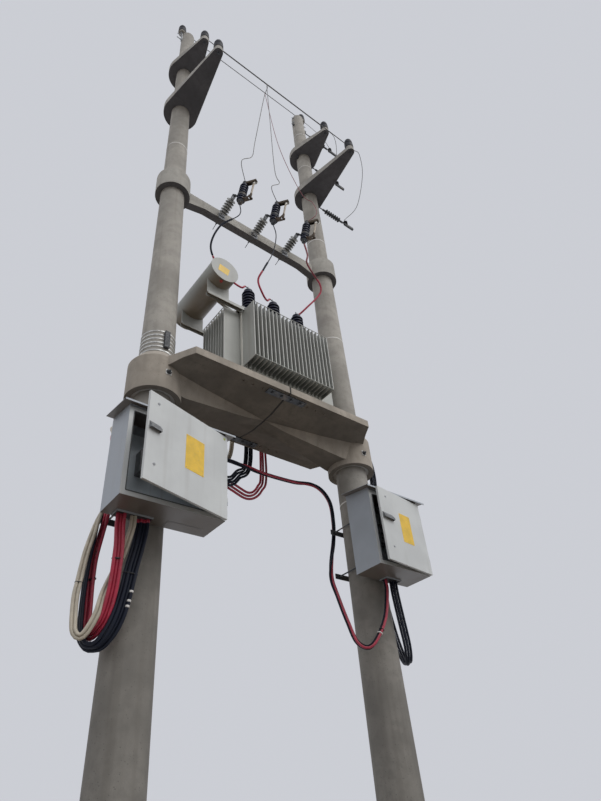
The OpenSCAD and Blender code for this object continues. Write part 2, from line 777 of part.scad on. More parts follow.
// Bushings standing on the cover: flange, domed sheds, cap and terminal stud
bushing_flange = 20;
bushing_cap = 42;
stud_h = 60;
hv_r = 74;
hv_sheds = 9;
hv_flange_r = 60;
hv_cap_r = 50;
lv_r = 38;
lv_flange_r = 34;
lv_cap_r = 24;
lv_first = -260;
lv_pitch = 150;
module bushing(h, r, count, flange_r, cap_r) {
    foot = bushing_flange + 14;
    top = h - stud_h - bushing_cap;
    pitch = (top - foot) / count;
    core = r * 0.58;
    rotate_extrude($fn = round_fn) polygon(concat(
        [[0, 0], [flange_r, 0], [flange_r, bushing_flange], [core, bushing_flange]],
        sheds(foot, count, pitch, core, r, pitch * 0.72),
        [[core, top], [cap_r, top], [cap_r, top + bushing_cap * 0.6],
            [stud_r * 1.8, top + bushing_cap], [stud_r, top + bushing_cap],
            [stud_r, h - stud_r * 0.5], [0, h]]));
}
module hv_bushings() {
    color("midnightblue") for (k = [-1 : 1])
        translate([tank_x + k * hv_pitch, -hv_front, cover_z + cover_t])
            bushing(hv_h, hv_r, hv_sheds, hv_flange_r, hv_cap_r);
}
module lv_bushings() {
    color("midnightblue") for (k = [0 : 3])
        translate([tank_x + lv_first + k * lv_pitch, lv_back, cover_z + cover_t])
            bushing(lv_h, lv_r, 2, lv_flange_r, lv_cap_r);
}

// Open-fronted cabinet body with a sloping top edge, and the frame round its cables
module gland_frame(span) {
    outer = [span[1] + 2 * gland_t, gland_depth + 2 * gland_t, gland_h];
    translate([span[0] - gland_t, -gland_front - gland_t, cab_z - gland_h]) difference() {
        cube(outer);
        translate([gland_t, gland_t, -1]) cube([span[1], gland_depth, gland_h + 2]);
    }
}
module cabinet_body(w) {
    difference() {
        rotate([90, 0, 90]) translate([0, 0, -w / 2]) linear_extrude(w)
            polygon([[cab_back, cab_z], [cab_front, cab_z], [cab_front, cab_z + cab_h],
                [cab_back, cab_z + cab_h + cab_slope]]);
        rotate([90, 0, 90]) translate([0, 0, -w / 2 + sheet_t]) linear_extrude(w - 2 * sheet_t)
            polygon([[cab_back - sheet_t, cab_z + sheet_t], [cab_front - 1, cab_z + sheet_t],
                [cab_front - 1, cab_z + cab_h + cab_slope + 1],
                [cab_back - sheet_t, cab_z + cab_h + cab_slope + 1]]);
    }
    // Returns round the door opening
    for (s = [-1, 1]) translate([s * (w / 2 - 13) - 13, cab_front, cab_z])
        cube([26, sheet_t, cab_h]);
    for (z = [cab_z, cab_z + cab_h - 26]) translate([-w / 2, cab_front, z])
        cube([w, sheet_t, 26]);
}
module cabinet_roof(w) {
    front = cab_front - roof_lip;
    z_front = cab_z + cab_h - roof_rise * roof_lip + 0.5;
    z_back = cab_z + cab_h + cab_slope + 0.5;
    rotate([90, 0, 90]) translate([0, 0, -w / 2 - roof_lip])
        linear_extrude(w + 2 * roof_lip)
        polygon([[front, lip_z], [front + sheet_t, lip_z],
            [front + sheet_t, z_front + roof_rise * sheet_t], [cab_back, z_back],
            [cab_back, z_back + sheet_t], [front, z_front + sheet_t]]);
}

// Rain hood over a door's lock: sloped above, open below
module lock_hood(lock_w) {
    rotate([90, 0, 90]) difference() {
        linear_extrude(lock_w)
            polygon([[0, 0], [-lock_out, 0], [-lock_out, lock_h / 3], [0, lock_h]]);
        translate([0, 0, door_t]) linear_extrude(lock_w - 2 * door_t)
            polygon([[0, -1], [door_t - lock_out, -1], [door_t - lock_out, lock_h / 3 - door_t],
                [0, lock_h - 2 * door_t]]);
    }
}

// Door with folded edges, closed against the body, hinged on its right-hand edge
module cabinet_door(w, lock_w) {
    dw = w - 10;
    dh = lip_z - 8 - cab_z;
    hx = w / 2 + hinge_out;
    translate([-dw / 2, cab_front - door_gap - door_fold, cab_z]) difference() {
        cube([dw, door_fold, dh]);
        translate([door_t, door_t, door_t]) cube([dw - 2 * door_t, door_fold, dh - 2 * door_t]);
    }
    translate([lock_edge - dw / 2, cab_front - door_gap - door_fold, cab_z + lock_z])
        lock_hood(lock_w);
    for (z = hinge_rows) translate([hx, hinge_y, cab_z + z + knuckle_h + hinge_gap]) difference() {
        union() {
            cylinder(h = knuckle_h, r = knuckle_r, $fn = small_fn);
            translate([dw / 2 - hx, -1.5, 0]) cube([hx - dw / 2, 3, knuckle_h]);
        }
        translate([0, 0, -1]) cylinder(h = knuckle_h + 2, r = hinge_pin_r + hinge_gap, $fn = small_fn);
    }
}

// Fixed halves of the lift-off hinges: leaf on the cabinet's side, knuckle and pin
module cabinet_hinges(w) {
    for (z = hinge_rows) translate([w / 2, 0, cab_z + z]) {
        translate([0, hinge_y, 0]) cube([3, cab_front - hinge_y + 30, knuckle_h]);
        translate([hinge_out, hinge_y, 0]) cylinder(h = knuckle_h, r = knuckle_r, $fn = small_fn);
        translate([hinge_out, hinge_y, 1]) cylinder(h = 2 * knuckle_h - 1, r = hinge_pin_r, $fn = small_fn);
    }
}
module hinge_turn(x, w, a) {
    hx = x + w / 2 + hinge_out;
    translate([hx, hinge_y, 0]) rotate([0, 0, a]) translate([-hx, -hinge_y, 0]) children();
}

// Mounting panel with the switchgear that shows through the open door
panel_gap = 18;
panel_t = 2;
breaker_l = 90;
rail_l = 60;
module cabinet_panel(w) {
    face = cab_back - sheet_t - panel_gap - panel_t;
    translate([-w / 2 + 40, face, cab_z + 60]) cube([w - 80, panel_t, cab_h - 110]);
    for (s = [-1, 1], z = [cab_z + 90, cab_z + cab_h - 90])
        translate([s * (w / 2 - 70), cab_back - sheet_t, z]) rotate([90, 0, 0])
            cylinder(h = panel_gap + panel_t / 2, d = 14, $fn = small_fn);
    for (k = [-1 : 1])
        translate([k * 150 - 55, face - breaker_l, cab_z + cab_h * 0.45])
            cube([110, breaker_l + panel_t / 2, 190]);
    translate([-w / 2 + 90, face - rail_l, cab_z + 120]) cube([w - 180, rail_l + panel_t / 2, 60]);
}

// Pole clamps: a bar in front of the pole, one behind it and the studs that join them
module cabinet_clamps() {
    for (z = [cab_z + 140, cab_z + 600]) {
        r = pole_r(z);
        stud_x = r + 22;
        translate([-stud_x - 45, cab_back, z - 25])
            cube([2 * stud_x + 90, -r - seat_gap - cab_back, 50]);
        translate([-stud_x - 45, r + seat_gap, z - 25]) cube([2 * stud_x + 90, 8, 50]);
        for (s = [-1, 1]) rod([s * stud_x, cab_back + 2, z], [s * stud_x, r + 40, z], 14);
    }
}

module cabinet_left_body() {
    color("lightgray") {
        translate([cab_left_x, 0, 0]) cabinet_body(cab_left_w);
        gland_frame(gland_left);
    }
}
module cabinet_left_roof() {
    color("lightgray") translate([cab_left_x, 0, 0]) cabinet_roof(cab_left_w);
}
module cabinet_left_door() {
    color("gainsboro") hinge_turn(cab_left_x, cab_left_w, left_ajar)
        translate([cab_left_x, 0, 0]) cabinet_door(cab_left_w, left_lock_w);
}
module cabinet_left_hinges() {
    color("lightgray") translate([cab_left_x, 0, 0]) cabinet_hinges(cab_left_w);
}
module cabinet_left_panel() {
    color("lightgray") translate([cab_left_x, 0, 0]) cabinet_panel(cab_left_w);
}
module cabinet_left_clamps() {
    color("dimgray") cabinet_clamps();
}
module cabinet_right_body() {
    color("lightgray") {
        translate([cab_right_x, 0, 0]) cabinet_body(cab_right_w);
        gland_frame(gland_right);
    }
}
module cabinet_right_roof() {
    color("lightgray") translate([cab_right_x, 0, 0]) cabinet_roof(cab_right_w);
}
module cabinet_right_door() {
    color("gainsboro") hinge_turn(cab_right_x, cab_right_w, right_ajar)
        translate([cab_right_x, 0, 0]) cabinet_door(cab_right_w, right_lock_w);
}
module cabinet_right_hinges() {
    color("lightgray") translate([cab_right_x, 0, 0]) cabinet_hinges(cab_right_w);
}
module cabinet_right_panel() {
    color("lightgray") translate([cab_right_x, 0, 0]) cabinet_panel(cab_right_w);
}
module cabinet_right_clamps() {
    color("dimgray") translate([pole_gap, 0, 0]) cabinet_clamps();
}

// Steel bands round the left pole above the platform, with the dark anchor clamp
band_count = 6;
band_pitch = 48;
module pole_bands() {
    color("gainsboro") for (k = [0 : band_count - 1]) {
        z = ring_top_z + 20 + k * band_pitch;
        translate([0, 0, z]) difference() {
            cylinder(h = band_w, r = pole_r(z) + band_t + seat_gap, $fn = pole_fn);
            translate([0, 0, -z]) pole_room(z - 1, z + band_w + 1);
        }
    }
    color("black") translate([-20, -pole_r(ring_top_z) - band_t - seat_gap - 30, ring_top_z + 60])
        cube([50, 30, 200]);
}

// Cables and wires: routes are points chosen by hand, from the lower end upward
red_d = 46;
beige_d = 36;
black_d = 50;
link_d = 32;
lead_d = 12;
dropper_d = 9;
cord_start = cab_z - seat_gap;
lv_end = lv_back + stud_r + seat_gap;
red_route = [[-262, -262, cord_start], [-262, -262, 3740], [-251, -262, 3590],
    [-247, -248, 3440], [-245, -222, 3300], [-250, -180, 3163], [-268, -130, 3083],
    [-295, -70, 3045], [-313, -15, 3080], [-317, 12, 3160], [-320, 30, 3300],
    [-322, 42, 3450], [-315, 55, 3620], [-292, 56, 3800], [-272, 44, 3960],
    [-250, 48, 4200], [-256, 62, 4500], [-214, 212, 4800], [-40, 400, 4990], [300, 500, 5040],
    [800, 560, 5010], [1200, 585, 4900], [1400, 585, 4850], [1530, 575, 4960],
    [1580, 550, 5200], [1560, 545, 6350], [1440, 500, 6620], [1350, 320, 6740],
    [1350, lv_end, 6740]];
beige_route = [[-175, -268, cord_start], [-175, -268, 3760], [-188, -250, 3660],
    [-205, -208, 3540], [-238, -190, 3440], [-284, -184, 3300], [-310, -178, 3165],
    [-348, -150, 3061], [-378, -130, 3029], [-406, -100, 3061], [-415, -80, 3135],
    [-419, -60, 3286], [-406, -40, 3393], [-382, -20, 3596], [-352, -5, 3764],
    [-332, 0, 3890], [-300, -30, 4080], [-298, -20, 4350], [-304, 110, 4700], [-250, 268, 4870], [-90, 430, 5060],
    [500, 520, 5140], [1000, 565, 5180], [1180, 560, 5330], [1180, 545, 6350],
    [1110, 500, 6620], [1050, 320, 6740], [1050, lv_end, 6740]];
black_route = [[-95, -250, cord_start], [-95, -250, 3760], [-115, -255, 3626],
    [-144, -250, 3459], [-162, -240, 3305], [-183, -220, 3160], [-210, -190, 3060],
    [-245, -140, 2987], [-277, -95, 2975], [-322, -66, 2985], [-364, -28, 3060],
    [-372, 2, 3200], [-372, 22, 3376], [-366, 32, 3558], [-348, 45, 3760],
    [-324, 90, 3900], [-266, 124, 4080], [-243, 134, 4380], [-222, 160, 4580], [-95, 245, 4740],
    [600, 430, 4860], [1040, 450, 4850], [1200, 470, 4980], [1370, 525, 5250],
    [1390, 545, 6350], [1310, 500, 6620], [1200, 320, 6740], [1200, lv_end, 6740]];
link_route = [[300, cab_back + 1, 4330], [300, -130, 4330], [290, -20, 4500],
    [330, 180, 4800], [600, 340, 4980], [1040, 400, 5060], [1500, 420, 5060],
    [1850, 370, 5040], [2080, 290, 5020], [2200, 240, 4850], [2220, 235, 4600],
    [2180, 230, 4350], [2075, 200, 4000], [2050, 110, 3750], [2030, 0, 3480],
    [2030, -90, 3280], [2100, -180, 3240], [2240, -240, 3450], [2330, -245, 3720],
    [2330, -245, cord_start]];
right_route = [[2430, -250, cord_start], [2430, -250, 3720], [2460, -240, 3500],
    [2550, -180, 3280], [2640, -80, 3180], [2690, 20, 3260], [2690, 80, 3550],
    [2670, 110, 4100], [2680, 60, 4600], [2690, -20, 5050], [2690, 20, 5400],
    [2660, 120, 5640], [2500, 260, 5720], [2300, 330, 5730], [2130, 400, 5800],
    [2080, 500, 5980], [1800, 545, 6300], [1600, 500, 6640], [1500, 320, 6740],
    [1500, lv_end, 6740]];
terminal_low = [0, 0, -cutout_l / 2 - 4];
terminal_top = [0, 0, cutout_l / 2 + 4];
wire_share = 0.36;
low_wire_z = lower_bracket_z + bracket_tip_t + seat_gap + wire_share * pin_ins_h;
high_wire_z = upper_bracket_z + bracket_tip_t + seat_gap + wire_share * pin_ins_h;
ridge_wire_z = pole_h + ridge_rise + wire_share * pin_ins_h;
// Routes of the thin conductors, from their lower ends
bushing_tip = cover_z + cover_t + hv_h - 15;
lead_routes = [
    [[tank_x - hv_pitch - stud_r - seat_gap, -hv_front, bushing_tip],
     [tank_x - hv_pitch - 45, -hv_front, bushing_tip], [870, -148, 7030], [740, -145, 7060],
     [560, -150, 7180], [420, -210, 7380], [470, -330, 7660], [660, -440, 7900],
     cut_point(0, terminal_low)],
    [[tank_x - stud_r - seat_gap, -hv_front, bushing_tip],
     [tank_x - 45, -hv_front, bushing_tip], [1200, -180, 6990], [1080, -260, 6960],
     [990, -310, 7080], [1030, -380, 7240], [1140, -430, 7560], [1190, -455, 7900],
     cut_point(1, terminal_low)],
    [[tank_x + hv_pitch + stud_r + seat_gap, -hv_front, bushing_tip],
     [tank_x + hv_pitch + 45, -hv_front, bushing_tip], [1780, -230, 7180], [1930, -330, 7420],
     [1910, -380, 7540], [1790, -410, 7620], [1670, -440, 7740], [1690, -450, 7900],
     cut_point(2, terminal_low)]];
dropper_routes = [
    [cut_point(0, terminal_top), [590, -620, 8760], [740, -640, 9000], [790, -660, 9400],
     [800, -900, 10200], [800, -1000, low_wire_z - 100],
     [800, -1000, low_wire_z - lead_d / 2 - seat_gap]],
    [cut_point(1, terminal_top), [1060, -600, 8650], [1200, -600, 8880], [1140, -600, 9150],
     [1140, -600, 10600], [1140, -600, high_wire_z - lead_d / 2 - seat_gap]],
    [cut_point(2, terminal_top), [1860, -560, 8800], [1900, -480, 9200], [1790, -380, 9500],
     [1620, -200, 10900], [1600, 0, ridge_wire_z - lead_d / 2 - seat_gap]]];
jumper_in = pin_ins_d / 2 + seat_gap;
jumper_routes = [
    [riser_top(0), riser_top(0) + [0, 0, 60], [3230, -250, 10560], [2950, -700, 10620],
     [2600, -980, 10490], [pole_gap + 120, -lower_reach, low_wire_z],
     [pole_gap + jumper_in, -lower_reach, low_wire_z]],
    [riser_top(1), riser_top(1) + [0, 0, 60], [3060, -120, 11760], [2800, -420, 11760],
     [2600, -570, 11690], [pole_gap + 120, -upper_reach, high_wire_z],
     [pole_gap + jumper_in, -upper_reach, high_wire_z]],
    [riser_top(2), riser_top(2) + [0, 0, 60], [3000, 0, 12930], [2800, 0, 13010],
     [2600, 0, 13045], [ridge_x[1] + jumper_in, 0, ridge_wire_z]]];
module loop_cables_red() {
    color("crimson") cord(red_route, red_d);
}
module loop_cables_beige() {
    color("wheat") cord(beige_route, beige_d);
}
module loop_cables_black() {
    color("black") cord(black_route, black_d);
}
module link_cables() {
    color("black") cord(link_route, link_d);
}
module right_cables() {
    color("black") cord(right_route, link_d);
}
module hv_leads() {
    color("dimgray") for (route = lead_routes) cord(route, lead_d);
}
module droppers() {
    color("dimgray") for (route = dropper_routes) cord(route, dropper_d);
}
module jumpers() {
    color("dimgray") for (route = jumper_routes) cord(route, dropper_d);
}
module line_wire(x0, x1, y, z) {
    in = pin_ins_d / 2 + seat_gap;
    rod([x0 + in, y, z], [x1 - in, y, z], lead_d);
}
module line_wires() {
    color("dimgray") {
        line_wire(0, pole_gap, -lower_reach, low_wire_z);
        line_wire(0, pole_gap, -upper_reach, high_wire_z);
        line_wire(ridge_x[0], ridge_x[1], 0, ridge_wire_z);
    }
}

pole(0);  // pole_left
pole(1);  // pole_right
platform_left();
platform_right();
splice_plates();
crossarm();
bracket_left_lower();
bracket_left_upper();
bracket_right_lower();
bracket_right_upper();
ridge_pins();
pin_insulators_left();
pin_insulators_right();
strain_insulators();
extender(0);  // extender_1
extender(1);  // extender_2
extender(2);  // extender_3
cutout_body(0);  // cutout_body_1
cutout_body(1);  // cutout_body_2
cutout_body(2);  // cutout_body_3
fuse_tube(0);  // fuse_tube_1
fuse_tube(1);  // fuse_tube_2
fuse_tube(2);  // fuse_tube_3
tank();
tank_cover();
fins_front();
fins_back();
fins_left();
fins_right();
base_rails();
conservator();
conservator_supports();
hv_bushings();
lv_bushings();
cabinet_left_body();
cabinet_left_roof();
cabinet_left_door();
cabinet_left_hinges();
cabinet_left_panel();
cabinet_left_clamps();
cabinet_right_body();
cabinet_right_roof();
cabinet_right_door();
cabinet_right_hinges();
cabinet_right_panel();
cabinet_right_clamps();
pole_bands();
loop_cables_red();
loop_cables_beige();
loop_cables_black();
link_cables();
right_cables();
hv_leads();
droppers();
jumpers();
line_wires();
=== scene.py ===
"""Dress the two-pole transformer substation: cables, conductors, finishes, small fittings, light.

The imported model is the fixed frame, in metres. Its origin is the centre of the left pole's foot,
+X runs to the right pole, +Z is up, and the cabinets and the bracket arms face -Y.
"""

import json
import logging
import math
from dataclasses import dataclass
from enum import Enum
from typing import Callable, Optional, Sequence, Union

import bpy
import numpy as np
from mathutils import Matrix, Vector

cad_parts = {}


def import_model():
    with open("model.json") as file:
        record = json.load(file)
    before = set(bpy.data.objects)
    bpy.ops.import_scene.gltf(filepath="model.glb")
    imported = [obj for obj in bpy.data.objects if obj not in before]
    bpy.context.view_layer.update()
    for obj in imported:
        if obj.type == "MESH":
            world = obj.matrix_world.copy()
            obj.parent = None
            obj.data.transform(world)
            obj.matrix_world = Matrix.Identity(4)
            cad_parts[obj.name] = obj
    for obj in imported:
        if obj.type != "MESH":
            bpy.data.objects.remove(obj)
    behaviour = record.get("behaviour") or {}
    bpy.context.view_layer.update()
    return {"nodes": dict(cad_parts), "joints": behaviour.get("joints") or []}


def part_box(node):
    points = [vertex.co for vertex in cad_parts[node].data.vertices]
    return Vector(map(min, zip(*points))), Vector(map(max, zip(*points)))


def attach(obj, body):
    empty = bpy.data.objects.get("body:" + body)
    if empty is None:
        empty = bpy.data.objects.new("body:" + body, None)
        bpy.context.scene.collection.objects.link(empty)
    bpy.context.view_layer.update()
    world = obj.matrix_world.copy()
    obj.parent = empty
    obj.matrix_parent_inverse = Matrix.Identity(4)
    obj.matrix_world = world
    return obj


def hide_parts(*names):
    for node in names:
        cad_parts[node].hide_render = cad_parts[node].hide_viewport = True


LOG = logging.getLogger("substation")
Colour = tuple[float, float, float]
Point = tuple[float, float, float]
Pairs = Sequence[tuple[float, float]]
Socket = bpy.types.NodeSocket
Value = Union[Socket, float, Colour]

UP, DOWN = (0.0, 0.0, 1.0), (0.0, 0.0, -1.0)
FRONT, BACK = (0.0, -1.0, 0.0), (0.0, 1.0, 0.0)

IMAGE_HEIGHT = 801
FOCAL_PIXELS = 588.89
SENSOR_WIDTH = 36.0
CAMERA_PLACE = (-1.6903, -3.8274, 1.8413)
CAMERA_YAW = 0.7289
CAMERA_PITCH = 0.6636
CAMERA_ROLL = -0.0993

POLE_GAP = 2.35
POLE_HEIGHT = 12.9
POLE_FOOT_RADIUS = 0.20175
POLE_TOP_RADIUS = 0.105


def pole_radius(height: float) -> float:
    """Return a pole's radius at a height above the ground."""
    return POLE_FOOT_RADIUS + (POLE_TOP_RADIUS - POLE_FOOT_RADIUS) * height / POLE_HEIGHT


class Body(Enum):
    """CAD bodies that pieces ride on."""

    ROOT = "root"
    LEFT_DOOR = "cabinet_left_door"
    RIGHT_DOOR = "cabinet_right_door"


class Tree:
    """A node tree, with short calls for the nodes that the finishes share."""

    def __init__(self, tree: bpy.types.NodeTree, shader: str = "Principled BSDF",
                 place: str = "Object") -> None:
        """Keep the tree and its shader, and add the coordinates that its patterns lie in.

        Args:
            tree: The node tree.
            shader: The node that ends it.
            place: The kind of coordinates.
        """
        self.nodes = tree.nodes
        self.links = tree.links
        self.shader = tree.nodes[shader]
        self.place = self.node("TexCoord", {})[place]

    @classmethod
    def of_material(cls, name: str) -> tuple[bpy.types.Material, "Tree"]:
        """Return a new principled material of that name, and its tree.

        Args:
            name: The material's name.

        Returns:
            The material and its tree.
        """
        material = bpy.data.materials.new(name)
        material.use_nodes = True
        return material, cls(material.node_tree)

    def fill(self, node: bpy.types.Node, values: dict) -> None:
        """Feed a node's inputs, each with a socket to link or a plain value.

        Args:
            node: The node.
            values: Sockets or plain values, by name or number.
        """
        for name, value in values.items():
            socket = node.inputs[name]
            if isinstance(value, bpy.types.NodeSocket):
                self.links.new(value, socket)
            elif socket.type == "RGBA":
                socket.default_value = (*value, 1.0)
            else:
                socket.default_value = value

    def node(self, kind: str, inputs: dict, **settings: str) -> bpy.types.NodeOutputs:
        """Add a node.

        Args:
            kind: Its type, without the leading ShaderNode.
            inputs: Sockets or plain values for its inputs, by name or number.
            settings: Its own settings.

        Returns:
            Its outputs.
        """
        node = self.nodes.new("ShaderNode" + kind)
        for name, value in settings.items():
            setattr(node, name, value)
        self.fill(node, inputs)
        return node.outputs

    def surface(self, **values: Value) -> None:
        """Feed the shader's sockets, each named with _ for a space."""
        self.fill(self.shader, {name.replace("_", " "): value for name, value in values.items()})

    def scaled(self, scale: Point, turn: Point = (0.0, 0.0, 0.0)) -> Socket:
        """Return the object coordinates stretched along each axis and turned."""
        values = {"Vector": self.place, "Scale": scale, "Rotation": turn}
        return self.node("Mapping", values)["Vector"]

    def noise(self, scale: float, detail: float, vector: Optional[Socket] = None,
              distortion: float = 0.0) -> Socket:
        """Return a noise pattern's grey value, about 0.5 in the middle.

        Args:
            scale: Waves to a metre.
            detail: How many finer waves are added.
            vector: Coordinates other than the object's own.
            distortion: How far the pattern is bent.

        Returns:
            The grey value.
        """
        values = {"Vector": vector or self.place, "Scale": scale, "Detail": detail,
                  "Distortion": distortion}
        return self.node("TexNoise", values)["Fac"]

    def cloud(self, scale: float, detail: float, low: float, high: float,
              vector: Optional[Socket] = None, distortion: float = 0.0) -> Socket:
        """Return a noise pattern that rises from 0 to 1 between two of its grey values."""
        return self.span(self.noise(scale, detail, vector, distortion), low, high)

    def cells(self, scale: float, output: str = "Distance") -> Socket:
        """Return a cell pattern, as a distance or as a random colour of each cell."""
        return self.node("TexVoronoi", {"Vector": self.place, "Scale": scale})[output]

    def span(self, value: Socket, low: float, high: float, to_low: float = 0.0,
             to_high: float = 1.0) -> Socket:
        """Return a value mapped from low..high to to_low..to_high, clamped and smoothed.

        Args:
            value: The value.
            low: Where the change starts.
            high: Where it ends.
            to_low: The result up to low.
            to_high: The result from high.

        Returns:
            The mapped value.
        """
        values = {"Value": value, "From Min": low, "From Max": high, "To Min": to_low,
                  "To Max": to_high}
        return self.node("MapRange", values, interpolation_type="SMOOTHSTEP")["Result"]

    def mixed(self, factor: Value, first: Value, second: Value, blend: str = "MIX") -> Socket:
        """Return a mix of two colours, which the node has as its inputs 6 and 7, output 2."""
        values = {"Factor": factor, 6: first, 7: second}
        return self.node("Mix", values, data_type="RGBA", blend_type=blend)[2]

    def times(self, colour: Value, shade: Colour) -> Socket:
        """Return a colour multiplied by another."""
        return self.mixed(1.0, colour, shade, "MULTIPLY")

    def stained(self, colour: Value, stain: Colour, mask: Socket, share: float) -> Socket:
        """Return a colour that goes over to a stain by a share of the mask."""
        return self.mixed(self.maths("MULTIPLY", mask, share), colour, stain)

    def maths(self, operation: str, first: Value, second: Value = 0.0) -> Socket:
        """Return the result of one operation on two values."""
        return self.node("Math", {0: first, 1: second}, operation=operation)[0]

    def part(self, vector: Socket, name: str) -> Socket:
        """Return one component of a vector."""
        return self.node("SeparateXYZ", {0: vector})[name]

    def apart(self, name: str, middle: float = 0.0) -> Socket:
        """Return the distance from a middle along one axis of the object coordinates."""
        gap = self.maths("SUBTRACT", self.part(self.place, name), middle)
        return self.maths("ABSOLUTE", gap)

    def slope(self, low: float, high: float) -> Socket:
        """Return how far the surface faces up: 0 at low and 1 at high of its normal's Z."""
        return self.span(self.part(self.node("NewGeometry", {})["Normal"], "Z"), low, high)

    def facing_up(self) -> Socket:
        """Return how far the surface faces up: 1 at the top, 0 below."""
        return self.slope(-0.2, 0.9)

    def not_down(self) -> Socket:
        """Return how far the surface is from facing down: 0 at an underside, 1 on a wall."""
        return self.slope(-0.95, -0.35)

    def bump(self, height: Socket, depth: float, strength: float,
             under: Optional[Socket] = None) -> Socket:
        """Return a normal bent by a height pattern of that depth in metres.

        Args:
            height: The height pattern.
            depth: Its depth in metres.
            strength: Share of it that shows.
            under: A normal that is bent already.

        Returns:
            The normal.
        """
        lower = {} if under is None else {"Normal": under}
        values = {"Distance": depth, "Strength": strength, "Height": height, **lower}
        return self.node("Bump", values)["Normal"]

    def seen(self) -> Socket:
        """Return 1 for rays from the camera, a mirror or a glass, and 0 for light.

        Returns:
            The share of the direct rays, 1 or 0.
        """
        path = self.node("LightPath", {})
        direct = self.maths("MAXIMUM", path["Is Camera Ray"], path["Is Glossy Ray"])
        return self.maths("MAXIMUM", direct, path["Is Transmission Ray"])


@dataclass(frozen=True)
class Finish:
    """A finish: its name, its main colour and how rough it is.

    Each kind's patterns are noise: scale, detail, and the grey values between which they rise.
    Its grain is fine noise that bends the normal: scale, detail, depth in metres and strength.
    """

    grain = (180.0, 3.0, 0.0004, 0.4)
    name: str
    colour: Colour
    roughness: float

    def material(self) -> bpy.types.Material:
        """Return this finish's material, made once.

        Returns:
            The material.
        """
        name = "finish_" + self.name
        found = bpy.data.materials.get(name)
        if found is not None:
            return found
        material, tree = Tree.of_material(name)
        tree.surface(Roughness=self.roughness)
        self.build(tree)
        return material

    def tone(self, share: float) -> Colour:
        """Return the main colour made lighter or darker."""
        return tuple(min(1.0, value * share) for value in self.colour)

    def rough(self, tree: Tree, mask: Socket, more: float, less: float = 0.0) -> Socket:
        """Return a roughness that grows with a mask."""
        return tree.span(mask, 0.0, 1.0, self.roughness - less, min(1.0, self.roughness + more))

    def grained(self, tree: Tree) -> Socket:
        """Return a normal bent by the grain."""
        scale, detail, depth, strength = self.grain
        return tree.bump(tree.noise(scale, detail), depth, strength)

    def build(self, tree: Tree) -> None:
        """Add this finish's own nodes."""
        raise NotImplementedError


@dataclass(frozen=True)
class Concrete(Finish):
    """Cast or spun concrete: mottled, streaked by rain, with fine pores."""

    stain: Colour = (0.2, 0.18, 0.15)
    streak: float = 0.35
    # Painted shade: the colour that downward faces are multiplied by, bluish on the beam and the
    # brackets.
    underside: Optional[Colour] = None
    foot: float = 1.0
    seam: Optional[float] = None
    mottle = (2.6, 6.0, 0.32, 0.68)
    blotch = (13.0, 5.0, 0.42, 0.7)
    flow = (1.0, 4.0, 0.48, 0.74)
    flow_scale = (14.0, 14.0, 0.55)
    patch = (0.9, 6.0, 0.56, 0.72)
    patch_turn = (0.4, 0.2, 0.9)
    patch_bend = 1.2
    pore_scale = 38.0
    swell = (7.0, 4.0)
    sand = (160.0, 2.0)
    foot_heights = (2.0, 7.0)
    seam_edge = (0.006, 0.014)

    def build(self, tree: Tree) -> None:
        """Mottle, stain and pit the concrete, paint shade on its underside, and darken its foot and
        seam.

        Args:
            tree: The material's tree.
        """
        colour = tree.mixed(tree.cloud(*self.mottle), self.tone(0.78), self.tone(1.16))
        colour = tree.stained(colour, self.tone(0.66), tree.cloud(*self.blotch), 0.45)
        flow = tree.cloud(*self.flow, tree.scaled(self.flow_scale))
        colour = tree.stained(colour, self.stain, flow, self.streak)
        turned = tree.scaled((1.0, 1.0, 1.0), self.patch_turn)
        patch = tree.cloud(*self.patch, turned, self.patch_bend)
        colour = tree.stained(colour, self.tone(0.7), patch, 0.3)
        sand = tree.noise(*self.sand)
        colour = tree.mixed(tree.span(sand, 0.3, 0.7, 0.0, 0.35), colour, self.tone(0.82))
        pores = tree.span(tree.cells(self.pore_scale), 0.03, 0.2)
        colour = tree.mixed(pores, self.tone(0.6), colour)
        # Painted shade on the undersides.
        if self.underside is not None:
            colour = tree.mixed(tree.not_down(), tree.times(colour, self.underside), colour)
        if self.foot < 1.0:
            height = tree.span(tree.part(tree.place, "Z"), *self.foot_heights)
            colour = tree.mixed(height, tree.times(colour, (self.foot,) * 3), colour)
        if self.seam is not None:
            near = tree.span(tree.apart("X", self.seam), *self.seam_edge)
            colour = tree.mixed(near, self.tone(0.12), colour)
        pitted = tree.bump(pores, 0.002, 0.4, tree.bump(sand, 0.0008, 0.5))
        swollen = tree.bump(tree.noise(*self.swell), 0.006, 0.35, pitted)
        tree.surface(Base_Color=colour, Normal=swollen)


